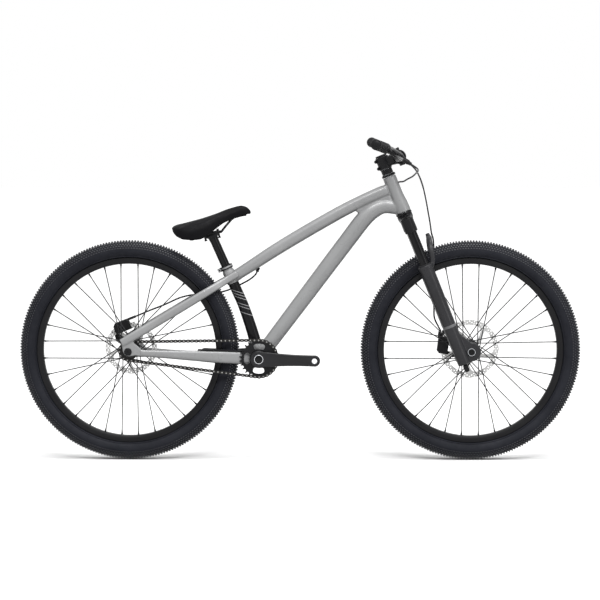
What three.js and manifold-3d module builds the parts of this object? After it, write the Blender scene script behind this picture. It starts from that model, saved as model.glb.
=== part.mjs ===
// Dirt jump bicycle with a suspension fork, single-speed drive and hydraulic disc brakes.
// Millimetres. +X runs forward, +Y to the rider's left, +Z up.
// The origin lies on the floor, in the mid-plane, midway between the two axles.

import * as THREE from 'three';
import { mergeVertices } from 'three/addons/utils/BufferGeometryUtils.js';
import Module from 'manifold-3d';

const wasm = await Module();
wasm.setup();

// Shared clearances
const fitGap = 0.3;
const runningGap = 0.5;
const cutOverrun = 6;

// Layout of the bicycle
const wheelRadius = 337.5;
const wheelSpacing = 371.5;
const tyreToCrown = 132.1;
const bottomBracketShare = 1.18074;
const headAngle = 68;
const forkRake = 33;
const wheelbase = 2 * wheelRadius + wheelSpacing;
const axleToHead = wheelRadius + tyreToCrown;
const bottomBracketAhead = wheelRadius * bottomBracketShare;
const bottomBracketDrop = 23;

// Head tube and headset
const headSides = 12;
const headTubeLength = 118;
const headTubeTopRadius = 20.5;
const headTubeBottomRadius = 24.5;
const headTubeBoreRadius = 17.6;
const headTubeFlareShares = [0, 0.2, 0.45, 1];
const headTubeFlareRadiusShares = [1, 0.9, 0.15, 0];
const upperCupHeight = 8;
const lowerCupHeight = 7;
const upperCupRadius = 21.5;
const lowerCupRadius = 25;
const cupSleeveDepth = 14;
const steererRadius = 14.3;
const steererWall = 2.4;

// Top tube
const topTubeDepth = 38;
const topTubeWidth = 40;
const topTubeHeadDrop = 35;
const topTubeSeatDrop = 43;
const topTubeArch = 12.8;
const topTubeSeatDepth = 34;
const topTubeAlongShares = [0, 0.1, 0.3, 0.56, 0.75, 0.93, 1];
const topTubeArchShares = [0, 0.2, 0.74, 1, 0.92, 0.32, 0];
const topTubeDepthShares = [0.88, 0.93, 1.01, 1.02, 1, 0.97, 0.95];
const topTubeWidthShares = [0.78, 0.84, 0.94, 1, 1, 0.97, 0.92];

// Down tube, described back from the head tube and then straight to the bottom bracket
const downTubeDepth = 48;
const downTubeWidth = 46;
const downTubeHeadBackShares = [-0.1, -0.52, -0.77, -1, -1.45];
const downTubeHeadRiseShares = [0.12, 0.155, 0.05, -0.15, -0.73];
const downTubeDepthShares = [0.86, 0.94, 1.02, 1.06, 1.05, 1, 0.92];
const downTubeWidthShares = [0.8, 0.86, 0.94, 1, 1, 1, 1];
const gussetThickness = 26;
const gussetBack = 26;
const gussetTopShare = 0.8;

// Seat tube, seat cluster and collar
const seatAngle = 66;
const seatTubeHeight = 282.4;
const seatTubeSetback = 103.2;
const seatTubeRadius = 16.6;
const seatPostRadius = 13.6;
const seatBoreDepth = 128;
const seatLugLength = 58;
const seatLugRadius = 18.6;
const seatLugNeck = 17;
const seatLugReach = 26;
const collarHeight = 13;
const collarRadius = 20.6;
const collarBoltRadius = 4.4;
const collarBoltLength = 22;
const seatTubeBendShares = [0.46, 0.72, 1];
const seatTubeBendInShares = [0.15, -0.32, 0];
const seatTubeDepthShares = [1, 1, 1, 1.06, 1.14];

// Bottom bracket
const shellHalfWidth = 34;
const shellRadius = 22;
const cupOuterHalfWidth = 43.5;
const cupRadius = 21;
const spindleRadius = 14;
const spindleWall = 2.6;

// Rear stays and dropouts
const rearInnerHalfWidth = 67.5;
const dropoutThickness = 7;
const dropoutHeight = 38.6;
const dropoutAlongShares = [-0.6, -0.46, -0.39, -0.21, 0.08, 0.37, 0.62, 1.1, 1.1, 0.9, 0.62, 0.46, 0.43];
const dropoutRiseShares = [1, 0.33, -0.05, -0.3, -0.38, -0.34, -0.3, -0.36, 0.1, 0.35, 0.58, 0.75, 1];
const bracketAlongShares = [-0.26, -0.62, -0.92, -1.5, -1.24];
const bracketRiseShares = [-0.13, 0.99, 1.7, 1.45, 0.5];
const chainstayDepth = 37;
const chainstayStart = 39.85;
const chainstayAheadShares = [0, 0.2444, 0.4778, 0.6667, 0.7778, 0.8889, 0.9833];
const chainstayRiseShares = [-0.01, -0.024, -0.037, -0.047, -0.052, -0.056, -0.0575];
const chainstaySpreadShares = [1, 0.82, 0.665, 0.6, 0.585, 0.47, 0.385];
const chainstayDepthShares = [0.54, 0.7, 0.88, 0.99, 1, 1, 1];
const leftChainstayDrop = 8;
const leftChainstayDropShares = [0, 0.35, 0.8, 1, 1, 0.6, 0];
const chainstayWidth = 17;
const chainstayWidthShares = [0.76, 1, 1, 0.92, 0.85, 0.82, 0.8];
const seatstayDepth = 26.5;
const caliperPostDepth = 24;
const seatstayWidth = 16;
const seatstayFootRise = 26;
const seatstayMeetDrop = 39.4;
const seatstayAlongShares = [0, 0.1, 0.3, 0.6, 0.82, 0.95, 1.065];
const seatstaySpreadShares = [1, 1, 0.9, 0.78, 0.64, 0.385, 0.32];
const seatstayDepthShares = [0.95, 1, 1, 1, 0.92, 0.85, 0.85];
const stayFootOffset = 71;
const guardThickness = 4.6;
const guardWidth = 13;

// Rear axle
const rearAxleRadius = 5;
const axleBoltRadius = 11.8;
const axleBoltHeight = 5;

// Tyres and rims
const wheelSides = 28;
const tyreHalfWidth = 29.5;
const tyreOuterRiseShares = [1, 0.93, 0.62, 0.2];
const tyreOuterWidthShares = [0, 0.56, 1, 0.86];
const tyreInnerRiseShares = [0.36, 0.9];
const tyreInnerWidthShares = [0.86, 0];
const beadWidth = 4.6;
const tyreHeight = 53.5;
const rimDepth = 19;
const rimOuterRadius = wheelRadius - tyreHeight;
const rimInnerRadius = rimOuterRadius - rimDepth;
const rimHalfWidth = 16;
const rimInnerHalfWidth = 13.4;
const rimFlangeHeight = 7;
const rimBaseHalfWidth = 11.5;

// Hubs and spokes
const hubSides = 12;
const spokesPerSide = 16;
const spokeCrossings = 3;
const spokeRadius = 1.1;
const spokeFlangeOffset = 1.4;
const spokeRimOffset = 1.3;
const spokeRimSpread = 2.8;
const spokeRimGap = 2;
const spokeHead = 4;
const lacingTurnShare = 0.25;
const flangeRadius = 29;
const flangeHalfThickness = 2.6;
const hubShellRadius = 14;
const hubCapRadius = 11;
const rotorSeatRadius = 17;
const rotorShoulderRadius = 22;
const rotorSeatLength = 5;
const frontHubHalfWidth = 50;
const frontFlangeRight = 33;
const frontFlangeLeft = 24;
const frontRotorOffset = 39.4;
const frontAxleRadius = 7.5;
const rearFlangeRight = 29;
const rearFlangeLeft = 32;
const rearRotorOffset = 53;
const driverRadius = 16;
const driverHalfWidth = 5;

// Rotors
const frontRotorRadius = 90;
const rearRotorRadius = 80;
const rotorThickness = 1.8;
const rotorTrackWidth = 15;
const rotorHubRing = 8;
const rotorArms = 5;
const rotorArmWidth = 8;
const rotorSweepAngle = 22;

// Chain and sprockets
const chainPitch = 12.7;
const chainLine = 47;
const chainringTeeth = 28;
const cogTeeth = 14;
const sprocketThickness = 2;
const plateHeight = 8.2;
const plateThickness = 1;
const innerPlateOffset = 1.7;
const outerPlateOffset = 2.5;
const rollerHalfLength = 2.9;
const toothTipRise = 3.9;
const toothRootDrop = 4.6;
const toothRootHalfWidth = 2.4;
const toothTipHalfWidth = 0.8;
const chainringWindowInner = 29;
const chainringWindowOuter = 46;
const chainringWindowAngle = 30;
const chainringWindows = 4;
const windowAngleShares = [-0.8, 0.8, 1, 0.45, -0.45, -1];
const windowReachShares = [0, 0, 0.8, 1, 1, 0.8];
const cogBoreGap = 0.8;

// Cranks
const crankLength = 170;
const crankTilt = 1.7;
const crankHubRadius = 25.5;
const crankEndRadius = 17.5;
const crankArmInner = 60;
const crankArmThickness = 14;
const crankBevel = 2;
const pedalHoleRadius = 7.4;
const spindleCapRadius = 17;
const spindleRecess = 2;

// Fork
const crownDrop = 8;
const crownHeight = 24;
const crownHalfDepth = 23;
const crownAcrossShares = [-1, -0.6, 0, 0.6, 1];
const crownEndHalfDepth = 16;
const crownBossRadius = 24;
const crownBossDepth = 14;
const crownSocketRadius = 20;
const crownSocketTop = 18.7;
const crownSocketBottom = 63;
const crownSocketCap = 3;
const legOffset = 65;
const stanchionRadius = 15;
const stanchionLength = 286;
const stanchionWall = 2.2;
const stanchionCapRadius = 11;
const stanchionCapHeight = 3;
const lowersTop = 171.4;
const legFoot = 27.4;
const lowersBottom = axleToHead + legFoot;
const lowersTopRadius = 22;
const lowersBottomRadius = 20;
const legSolidLength = 53.6;
const lowersBoreDepth = lowersBottom - lowersTop - legSolidLength;
const wiperHeight = 12;
const wiperFlare = 1.4;
const dropoutLugRadius = 29;
const dropoutLugRise = 66;
const dropoutLugBackAngle = 104.4;
const dropoutLugFrontAngle = 72;
const forkInnerHalfWidth = 50;
const dropoutLugThickness = 22;
const axleRingRadius = 12;
const axleRingHeight = 4;
const archThickness = 11;
const archWidth = 22;
const archRise = 84;
const archForward = 43;
const archAcrossShares = [1, 1, 0.93, 0.72, 0.38, 0];
const archRiseShares = [0, 0.25, 0.55, 0.84, 0.97, 1];
const archForwardShares = [0.4, 0.66, 0.8, 0.93, 1, 1];
const knobRadius = 8;
const knobHeight = 24;
const knobNeck = 4;
const forkSides = 10;

// Cockpit
const spacerHeight = 16;
const spacerRadius = 17.5;
const stemHeight = 40;
const stemReach = 50;
const stemClampRadius = 20;
const barClampRadius = 22;
const barClampHalfWidth = 24;
const stemWaistHalfWidth = 17;
const stemWaistHalfHeight = 15;
const stemAlongShares = [0, 0.35, 0.7, 1];
const stemWidthShares = [0.9, 0.9, 1.25, 1.35];
const stemHeightShares = [1.2, 1, 1.1, 1.3];
const stemBoltRadius = 5;
const stemBoltHalfLength = 9;
const stemBoltBack = 21.5;
const stemBoltRiseShares = [0.225, 0.8];
const faceplateEar = 6;
const faceplateBoltRadius = 3.2;
const faceplateBoltHeight = 3;
const stemCapHeight = 5;
const barHalfLength = 385;
const barBack = 56.3;
const barRise = 66.6;
const barClampedRadius = 15.9;
const barEndRadius = 11.1;
const barSides = 12;
const barAcrossShares = [0, 0.073, 0.143, 0.299, 0.364, 0.45, 1];
const barBackShares = [0, 0, 0.06, 0.24, 0.313, 0.406, 1];
const barRiseShares = [0, 0, 0.066, 0.37, 0.452, 0.528, 1];
const barRadiusShares = [1, 1, 0.8, 0, 0, 0, 0];
const gripLength = 130;
const gripRadius = 16;
const gripWall = 4.2;
const gripRibs = 1;
const gripEnd = 3;

// Brake levers and master cylinders, outward from the middle of the bar
const leverClampGap = 25;
const leverClampAcross = barHalfLength - gripLength - leverClampGap;
const leverDrop = 53.5;
const leverClampWidth = 13;
const leverClampRadius = 16;
const masterRadius = 8.6;
const masterStart = 13;
const masterLength = 91;
const masterSides = 8;
const leverPivotReach = 42;
const leverPivotOut = 17;
const leverPinRadius = 2.6;
const leverRootRadius = 6.4;
const leverEarRadius = 7.6;
const leverThickness = 8;
const leverEarWall = 3;
const leverWidth = 9;
const leverOut = 118;
const leverReachShares = [0, 0.5, 1, 1.06, 0.92, 0.78];
const leverOutShares = [0, 0.12, 0.3, 0.62, 0.88, 1];
const leverReach = 26;

// Calipers and pads
const caliperHalfLength = 26;
const caliperInset = 24;
const caliperOverhang = 10;
const caliperHalfWidth = 13;
const caliperChamfer = 8;
const caliperEarLength = 13;
const caliperEarInner = 9;
const caliperEarOuter = 21;
const caliperEarHeight = 16;
const frontEarRise = 20;
const frontEarDrop = 15;
const caliperPostReach = 27;
const caliperPostHeight = 14;
const caliperPostUpper = 76;
const caliperPostRises = [0, caliperPostUpper];
const padThickness = 3;
const padHalfLength = 11;
const padHeight = 15;
const padGap = 0.45;
const banjoRadius = 4;
const frontBanjoLength = 12;
const rearBanjoLength = 34;
const frontCaliperAngle = -82;
const rearCaliperAngle = -22;

// Saddle and seat post
const saddleLength = 243;
const saddleBehindClamp = 120.9;
const saddleUnderClamp = 16.7;
const saddleHeight = 104;
const saddleHalfWidth = 65;
const saddleAlongShares = [0, 0.03, 0.08, 0.15, 0.24, 0.33, 0.41, 0.48, 0.56, 0.66, 0.77, 0.87, 0.94, 0.98, 1];
const saddleTopShares = [0.36, 0.4, 0.425, 0.46, 0.515, 0.57, 0.625, 0.68, 0.745, 0.84, 0.935, 1, 0.96, 0.88, 0.8];
const saddleBottomShares = [0.3, 0.17, 0.08, 0.02, 0, 0.01, 0.06, 0.17, 0.32, 0.49, 0.6, 0.67, 0.7, 0.72, 0.76];
const saddleWidthShares = [0.4, 0.62, 0.82, 0.95, 1, 0.98, 0.93, 0.84, 0.68, 0.46, 0.35, 0.3, 0.26, 0.2, 0.12];
const saddleWallShares = [0.9, 0.62, 0.4, 0.32, 0.3, 0.3, 0.3, 0.34, 0.42, 0.5, 0.55, 0.6, 0.7, 0.8, 0.9];
const saddleRingAcrossShares = [-0.97, -1, -0.95, -0.8, -0.5, 0, 0.5, 0.8, 0.95, 1, 0.97];
const saddleRingRiseShares = [0, 0.3, 0.62, 0.86, 0.97, 1, 0.97, 0.86, 0.62, 0.3, 0];
const saddleUnderAcrossShares = [0.86, 0.74, 0, -0.74, -0.86];
const saddleUnderRiseShares = [0, 0.8, 1, 0.8, 0];
const saddleShellThickness = 3;
const railRadius = 3.5;
const railSpacing = 22;
const railRearAlongShares = [0.09, 0.145, 0.21];
const railRearRiseShares = [0.18, 0.1, 0.03];
const railFrontAlongShares = [0.655, 0.69, 0.72, 0.749, 0.77, 0.776];
const railFrontRiseShares = [0.33, 0.43, 0.51, 0.587, 0.625, 0.639];
const railFrontAcrossShares = [0.9, 0.72, 0.52, 0.36, 0.18, 0];
const railClampShares = [-1.6, -1.3, -1.05, -0.4, 0.4, 1.05, 1.25];
const railSides = 6;
const railSteps = 30;
const clampHalfLength = 25;
const clampHalfWidth = 28;
const clampPlate = 7;
const clampTilt = 14;
const clampLowerShare = 0.8;
const postHeadRadius = 15;
const postInsert = 100;
const clampAlongPost = 106;
const clampBoltRadius = 3.4;

// Brake hose routes, hand-laid along the bicycle
const hoseRadius = 2.5;
const hoseSides = 8;
const frontHoseSteps = 33;
const rearHoseFrontSteps = 18;
const rearHoseRearSteps = 20;
const frontHoseRoute = [
  [15.4, 249, 150.8], [32.9, 252, 138.6], [46.7, 240, 123], [56.8, 215, 103], [66, 178, 74], [73.5, 135, 36],
  [79.8, 97, -4.6], [85, 70, -39.2], [88.4, 52, -66.3], [93, 46, -83.2], [94.8, 42.5, -115.5], [87.3, 37, -168.5],
  [93.3, 37.5, -230.5], [96.3, 43, -290.5], [98.3, 46, -328.5], [110.3, 43.5, -354.5], [117.2, 42.6, -369.5],
  [115.5, 42.6, -381.6],
];
const rearHoseFrontRoute = [
  [15.4, -249, 150.8], [29.8, -251, 141.1], [37.1, -206, 132.1], [32.9, -140, 122], [24.3, -90, 111.5],
  [10.5, -45, 102.3], [-0.7, -12, 94.5], [-11.7, 12, 92.5], [-25.7, 32, 88.5], [-48.7, 38, 76.5],
  [-73.7, 33, 62.5], [-87.5, 26.5, 53.9],
];
const stayHoseAlongShares = [1.2059, 1.185, 1.1258, 1.0211, 0.9298, 0.8487, 0.7573, 0.6641, 0.5585, 0.4177, 0.2802, 0.2026, 0.1719];
const stayHoseRises = [-25.1, -30.8, -35.8, -35, -31.5, -23.3, -8.1, 9.8, 23.6, 30.3, 39.2, 43.2, 45];
const stayHoseAcross = [3, 5, 15, 27, 38, 50, 61, 64, 62, 59, 56.5, 56.2, 56.2];
const hoseHoldCount = 7;
const hoseFadeCount = 4;
const portAcross = 26.5;
const exitAcross = 3;
const entryPort = [0.8938, 0.595, portAcross];
const exitPort = [0.1408, -1.527, exitAcross];
const portRadius = 5;
const portLength = 16;

// Colours of the finishes
const frameSilver = 0xa7a9ab;
const tubeBlack = 0x1d1e20;
const rubberBlack = 0x17181a;
const satinBlack = 0x242529;
const forkGrey = 0x3a3b3f;
const glossBlack = 0x111114;
const steelPale = 0xbfc2c6;
const spokeGrey = 0x8a8c90;
const chainDark = 0x3c3a39;
const coverBlack = 0x26272a;

const bicycle = new THREE.Group();
const steering = new THREE.Group();

// Angles and points that the whole bicycle shares
const turn = THREE.MathUtils.degToRad;
const steeringTilt = turn(headAngle - 90);
const rearAxle = new THREE.Vector3(-wheelbase / 2, 0, wheelRadius);
const frontAxle = new THREE.Vector3(wheelbase / 2, 0, wheelRadius);
const steeringUp = new THREE.Vector3(Math.sin(steeringTilt), 0, Math.cos(steeringTilt));
const steeringForward = new THREE.Vector3(Math.cos(steeringTilt), 0, -Math.sin(steeringTilt));
const headBase = frontAxle.clone().addScaledVector(steeringForward, -forkRake)
  .addScaledVector(steeringUp, axleToHead);
const bottomBracket = rearAxle.clone().add(new THREE.Vector3(bottomBracketAhead, 0, -bottomBracketDrop));
const seatTop = bottomBracket.clone().add(new THREE.Vector3(-seatTubeSetback, 0, seatTubeHeight));
const seatUp = new THREE.Vector3(-Math.cos(turn(seatAngle)), 0, Math.sin(turn(seatAngle)));
const seatTilt = Math.atan2(seatUp.x, seatUp.z);

steering.position.copy(headBase);
steering.rotation.y = steeringTilt;
bicycle.add(steering);

// One closed surface: shared corners merged, collapsed faces dropped, faces turned outwards
function closed(geometry) {
  const bare = new THREE.BufferGeometry();
  bare.setAttribute('position', geometry.getAttribute('position').clone());
  if (geometry.index) bare.setIndex(geometry.index.clone());
  const merged = mergeVertices(bare);
  const corners = merged.index.array;
  const place = merged.getAttribute('position');
  const faces = [];
  const a = new THREE.Vector3();
  const b = new THREE.Vector3();
  const c = new THREE.Vector3();
  let volume = 0;
  for (let i = 0; i < corners.length; i += 3) {
    const [p, q, r] = [corners[i], corners[i + 1], corners[i + 2]];
    if (p === q || q === r || r === p) continue;
    faces.push(p, q, r);
    a.fromBufferAttribute(place, p);
    b.fromBufferAttribute(place, q);
    c.fromBufferAttribute(place, r);
    volume += a.dot(b.cross(c));
  }
  if (volume < 0) faces.reverse();
  merged.setIndex(faces);
  return merged;
}

function toSolid(geometry) {
  const vertProperties = Float32Array.from(geometry.getAttribute('position').array);
  const triVerts = Uint32Array.from(geometry.index.array);
  return new wasm.Manifold(new wasm.Mesh({ numProp: 3, vertProperties, triVerts }));
}

function fromSolid(solid) {
  const { vertProperties, triVerts } = solid.getMesh();
  const geometry = new THREE.BufferGeometry();
  geometry.setAttribute('position', new THREE.BufferAttribute(Float32Array.from(vertProperties), 3));
  geometry.setIndex(Array.from(triVerts));
  return closed(geometry);
}

function join(first, ...others) {
  return fromSolid(others.reduce((whole, other) => whole.add(toSolid(other)), toSolid(first)));
}

function cut(first, ...tools) {
  return fromSolid(tools.reduce((whole, tool) => whole.subtract(toSolid(tool)), toSolid(first)));
}

function addPiece(name, geometry, color, roughness, metalness, carrier = bicycle) {
  const smooth = geometry.clone();
  smooth.computeVertexNormals();
  const mesh = new THREE.Mesh(smooth, new THREE.MeshStandardMaterial({ color, roughness, metalness }));
  mesh.name = name;
  carrier.add(mesh);
  return mesh;
}

// Rings of equal corner count, joined into a skin and closed by a flat cap at each end
function skin(rings) {
  const count = rings[0].length;
  const last = (rings.length - 1) * count;
  const faces = [];
  for (let i = 0; i + 1 < rings.length; i++) {
    for (let j = 0; j < count; j++) {
      const a = i * count + j;
      const b = i * count + ((j + 1) % count);
      faces.push(a, b, b + count, a, b + count, a + count);
    }
  }
  for (let j = 1; j + 1 < count; j++) {
    faces.push(0, j + 1, j, last, last + j, last + j + 1);
  }
  const geometry = new THREE.BufferGeometry();
  const numbers = rings.flat().flatMap((corner) => corner.toArray());
  geometry.setAttribute('position', new THREE.Float32BufferAttribute(numbers, 3));
  geometry.setIndex(faces);
  return closed(geometry);
}

// A turned piece: pairs of radius and place along Y
function turned(profile, sides) {
  const points = profile.map(([radius, along]) => new THREE.Vector2(radius, along));
  return closed(new THREE.LatheGeometry(points, sides));
}

function turnedUpright(profile, sides) {
  return turned(profile, sides).rotateX(Math.PI / 2);
}

function rod(radius, from, to, sides) {
  return turned([[0, from], [radius, from], [radius, to], [0, to]], sides);
}

function uprightRod(radius, from, to, sides) {
  return turnedUpright([[0, from], [radius, from], [radius, to], [0, to]], sides);
}

// Half of a ring's profile, mirrored about its middle and closed on itself
function mirroredProfile(half) {
  const back = half.filter(([, along]) => along !== 0).reverse().map(([radius, along]) => [radius, -along]);
  return [...half, ...back, half[0]];
}

function box(fromX, toX, fromY, toY, fromZ, toZ) {
  const geometry = new THREE.BoxGeometry(toX - fromX, toY - fromY, toZ - fromZ);
  return closed(geometry.translate((fromX + toX) / 2, (fromY + toY) / 2, (fromZ + toZ) / 2));
}

// A plate cut from an outline in X and Z, standing between two places along Y
function plate(shape, from, to, bevel = 0) {
  const options = { depth: to - from - 2 * bevel, curveSegments: 4 };
  options.bevelEnabled = bevel > 0;
  options.bevelThickness = bevel;
  options.bevelSize = bevel;
  options.bevelOffset = -bevel;
  options.bevelSegments = 1;
  const geometry = new THREE.ExtrudeGeometry(shape, options);
  return closed(geometry.rotateX(Math.PI / 2).translate(0, to - bevel, 0));
}

function outline(points) {
  return new THREE.Shape(points.map(([x, z]) => new THREE.Vector2(x, z)));
}

function polygonPoints(radius, count, startAngle = 0) {
  return Array.from({ length: count }, (_, i) => {
    const angle = startAngle + (i * 2 * Math.PI) / count;
    return [radius * Math.cos(angle), radius * Math.sin(angle)];
  });
}

function between(shares, position) {
  const index = Math.min(Math.floor(position), shares.length - 2);
  return shares[index] + (shares[index + 1] - shares[index]) * (position - index);
}

// A frame tube: stations along a centre line, each with a depth in X-Z and a width along Y
function frameTube(centres, depths, widths, count, sides, squareness) {
  const curve = new THREE.CatmullRomCurve3(centres, false, 'centripetal');
  const rings = [];
  for (let i = 0; i < count; i++) {
    const share = i / (count - 1);
    const centre = curve.getPoint(share);
    const along = curve.getTangent(share);
    const normal = new THREE.Vector3(-along.z, 0, along.x).normalize();
    const position = share * (centres.length - 1);
    const halfDepth = between(depths, position) / 2;
    const halfWidth = between(widths, position) / 2;
    rings.push(superRing(centre, normal, halfDepth, halfWidth, sides, squareness));
  }
  return skin(rings);
}

function superRing(centre, normal, halfDepth, halfWidth, sides, squareness) {
  const power = 2 / squareness;
  return Array.from({ length: sides }, (_, j) => {
    const angle = (j * 2 * Math.PI) / sides;
    const across = Math.sign(Math.cos(angle)) * Math.abs(Math.cos(angle)) ** power;
    const up = Math.sign(Math.sin(angle)) * Math.abs(Math.sin(angle)) ** power;
    const corner = centre.clone().addScaledVector(normal, halfDepth * up);
    corner.y += halfWidth * across;
    return corner;
  });
}

// A round bar along a list of points, with a radius at each
function pipe(points, radii, sides, reference) {
  const rings = points.map((point, i) => {
    const before = points[Math.max(i - 1, 0)];
    const after = points[Math.min(i + 1, points.length - 1)];
    const along = after.clone().sub(before).normalize();
    const side = new THREE.Vector3().crossVectors(along, reference).normalize();
    const up = new THREE.Vector3().crossVectors(side, along);
    return polygonPoints(radii[i], sides).map(([u, v]) =>
      point.clone().addScaledVector(side, u).addScaledVector(up, v));
  });
  return skin(rings);
}

// A hose or bent bar of even thickness along a smooth route
function bent(route, radius, sides, steps) {
  const curve = new THREE.CatmullRomCurve3(route, false, 'centripetal');
  const section = outline(polygonPoints(radius, sides));
  return closed(new THREE.ExtrudeGeometry(section, { steps, extrudePath: curve }));
}

// Turns a piece made upright so that it stands along the seat post, at its top end
function alongSeatPost(geometry) {
  return geometry.rotateY(seatTilt).translate(seatTop.x, 0, seatTop.z);
}

function toWorld(geometry) {
  return geometry.rotateY(steeringTilt).translate(headBase.x, headBase.y, headBase.z);
}

// Head tube: a turned body that flares towards the lower bearing
function headTubeBody(grow) {
  const flare = headTubeBottomRadius - headTubeTopRadius;
  const side = headTubeFlareShares.map((share, i) =>
    [headTubeTopRadius + flare * headTubeFlareRadiusShares[i] + grow, share * headTubeLength]);
  const profile = [[0, 0], ...side, [0, headTubeLength]];
  return turnedUpright(profile, headSides);
}

function headTube() {
  const bore = uprightRod(headTubeBoreRadius, -cutOverrun, headTubeLength + cutOverrun, headSides);
  return toWorld(cut(headTubeBody(0), bore));
}

// Headset cups: a flange outside the head tube and a sleeve inside it
function headsetCup(flangeRadius, flangeFrom, flangeTo, sleeveTo) {
  const sleeve = headTubeBoreRadius - fitGap;
  const bore = steererRadius + runningGap;
  const profile = [[bore, flangeFrom], [flangeRadius, flangeFrom], [flangeRadius, flangeTo],
    [sleeve, flangeTo], [sleeve, sleeveTo], [bore, sleeveTo], [bore, flangeFrom]];
  return toWorld(turnedUpright(profile, headSides));
}

function upperCup() {
  const base = headTubeLength + fitGap;
  return headsetCup(upperCupRadius, headTubeLength + upperCupHeight, base, headTubeLength - cupSleeveDepth);
}

function lowerCup() {
  return headsetCup(lowerCupRadius, -lowerCupHeight, -fitGap, cupSleeveDepth);
}

// Points on the head tube, measured forward and up from its lower end in the bicycle's own frame
function headPoint(back, rise) {
  return headBase.clone().add(new THREE.Vector3(back, 0, rise));
}

// Top tube: arched, from the seat cluster to the head tube
const topTubeEnd = headBase.clone().addScaledVector(steeringUp, headTubeLength - topTubeHeadDrop);
const topTubeStart = seatTop.clone().addScaledVector(seatUp, -topTubeSeatDrop);
const topTubeRun = topTubeEnd.clone().sub(topTubeStart);
const topTubeNormal = new THREE.Vector3(-topTubeRun.z, 0, topTubeRun.x).normalize();

function topTubePoint(along, arch) {
  return topTubeStart.clone().addScaledVector(topTubeRun, along).addScaledVector(topTubeNormal, topTubeArch * arch);
}

function topTubeBody(grow) {
  const centres = topTubeAlongShares.map((along, i) => topTubePoint(along, topTubeArchShares[i]));
  const depths = topTubeDepthShares.map((share) => share * topTubeDepth + 2 * grow);
  const widths = topTubeWidthShares.map((share) => share * topTubeWidth + 2 * grow);
  return frameTube(centres, depths, widths, 8, 10, 2.5);
}

function topTube() {
  const [before, end] = barHoseLine().slice(-2);
  const inward = end.clone().sub(before).normalize();
  const mouth = end.clone().addScaledVector(inward, fitGap);
  const foot = mouth.clone().addScaledVector(inward, portLength);
  const port = pipe([mouth, foot], [portRadius, portRadius], hoseSides, new THREE.Vector3(0, 0, 1));
  const [exit, after] = stayHoseLine();
  const upward = exit.clone().sub(after).normalize();
  const lip = exit.clone().addScaledVector(upward, fitGap);
  const root = lip.clone().addScaledVector(upward, portLength);
  const exitPort = pipe([lip, root], [portRadius, portRadius], hoseSides, new THREE.Vector3(0, 1, 0));
  const head = toWorld(headTubeBody(fitGap));
  return cut(join(topTubeBody(0), port, exitPort), head, seatLugRoom());
}

// Down tube: straight up from the bottom bracket, then bent level into the head tube
function downTubeCentres() {
  const upper = downTubeHeadBackShares.map((back, i) =>
    headPoint(back * headTubeLength, downTubeHeadRiseShares[i] * headTubeLength));
  const middle = upper.at(-1).clone().lerp(bottomBracket, 0.5);
  return [...upper, middle, bottomBracket.clone()];
}

function downTubeBody(grow) {
  const depths = downTubeDepthShares.map((share) => share * downTubeDepth + 2 * grow);
  const widths = downTubeWidthShares.map((share) => share * downTubeWidth + 2 * grow);
  return frameTube(downTubeCentres(), depths, widths, 10, 8, 2.4);
}

function gusset() {
  const apex = headPoint(-headTubeLength - gussetBack, 0);
  const top = topTubePoint(gussetTopShare, gussetTopShare);
  const shape = outline([[apex.x, apex.z], [headBase.x, apex.z], [topTubeEnd.x, topTubeEnd.z], [top.x, top.z]]);
  return plate(shape, -gussetThickness / 2, gussetThickness / 2);
}

function shellBody(grow) {
  const body = rod(shellRadius + grow, -shellHalfWidth - grow, shellHalfWidth + grow, 16);
  return body.translate(bottomBracket.x, 0, bottomBracket.z);
}

function bottomBracketRoom() {
  const room = rod(shellRadius + fitGap, -cupOuterHalfWidth * 2, cupOuterHalfWidth * 2, 16);
  return room.translate(bottomBracket.x, 0, bottomBracket.z);
}

function downTube() {
  const head = toWorld(headTubeBody(fitGap));
  const body = join(downTubeBody(0), gusset());
  const bearing = toWorld(uprightRod(lowerCupRadius + fitGap, -headTubeLength, cutOverrun / 2, headSides));
  return cut(body, head, bearing, topTubeBody(fitGap), shellBody(fitGap), seatTubeBody(fitGap));
}

// Seat tube: straight along the post's axis, then curving forward to the bottom bracket
function seatTubeBody(grow) {
  const start = seatTop.clone().addScaledVector(seatUp, -seatLugLength - fitGap);
  const straight = seatTop.clone().addScaledVector(seatUp, -seatBoreDepth);
  const run = bottomBracket.clone().sub(seatTop);
  const normal = new THREE.Vector3(run.z, 0, -run.x).normalize();
  const bend = seatTubeBendShares.map((share, i) =>
    seatTop.clone().addScaledVector(run, share).addScaledVector(normal, seatTubeBendInShares[i] * shellRadius));
  const centres = [start, start.clone().lerp(straight, 0.5), straight, ...bend.slice(1)];
  const depths = seatTubeDepthShares.map((share) => 2 * (share * seatTubeRadius + grow));
  const widths = centres.map(() => 2 * (seatTubeRadius + grow));
  return frameTube(centres, depths, widths, 6, 10, 2);
}

function seatBore() {
  const bore = uprightRod(seatPostRadius + fitGap, -seatBoreDepth, cutOverrun, forkSides);
  return alongSeatPost(bore);
}

function seatTube() {
  return cut(seatTubeBody(0), seatBore(), shellBody(fitGap), lugForging(fitGap));
}

// Seat cluster: a forged sleeve that carries the top tube's end and the two stays
function seatLugBody(grow) {
  const neck = uprightRod(seatTubeRadius + grow, -seatLugNeck, 0, forkSides);
  const sleeve = uprightRod(seatLugRadius + grow, -seatLugLength - grow, -seatLugNeck, forkSides);
  return alongSeatPost(join(neck, sleeve));
}

// The stretch of the top tube's line that the cluster's forged end takes up
function lugTip(further) {
  return topTubeStart.clone().addScaledVector(topTubeRun.clone().normalize(), seatLugReach + further);
}

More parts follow.
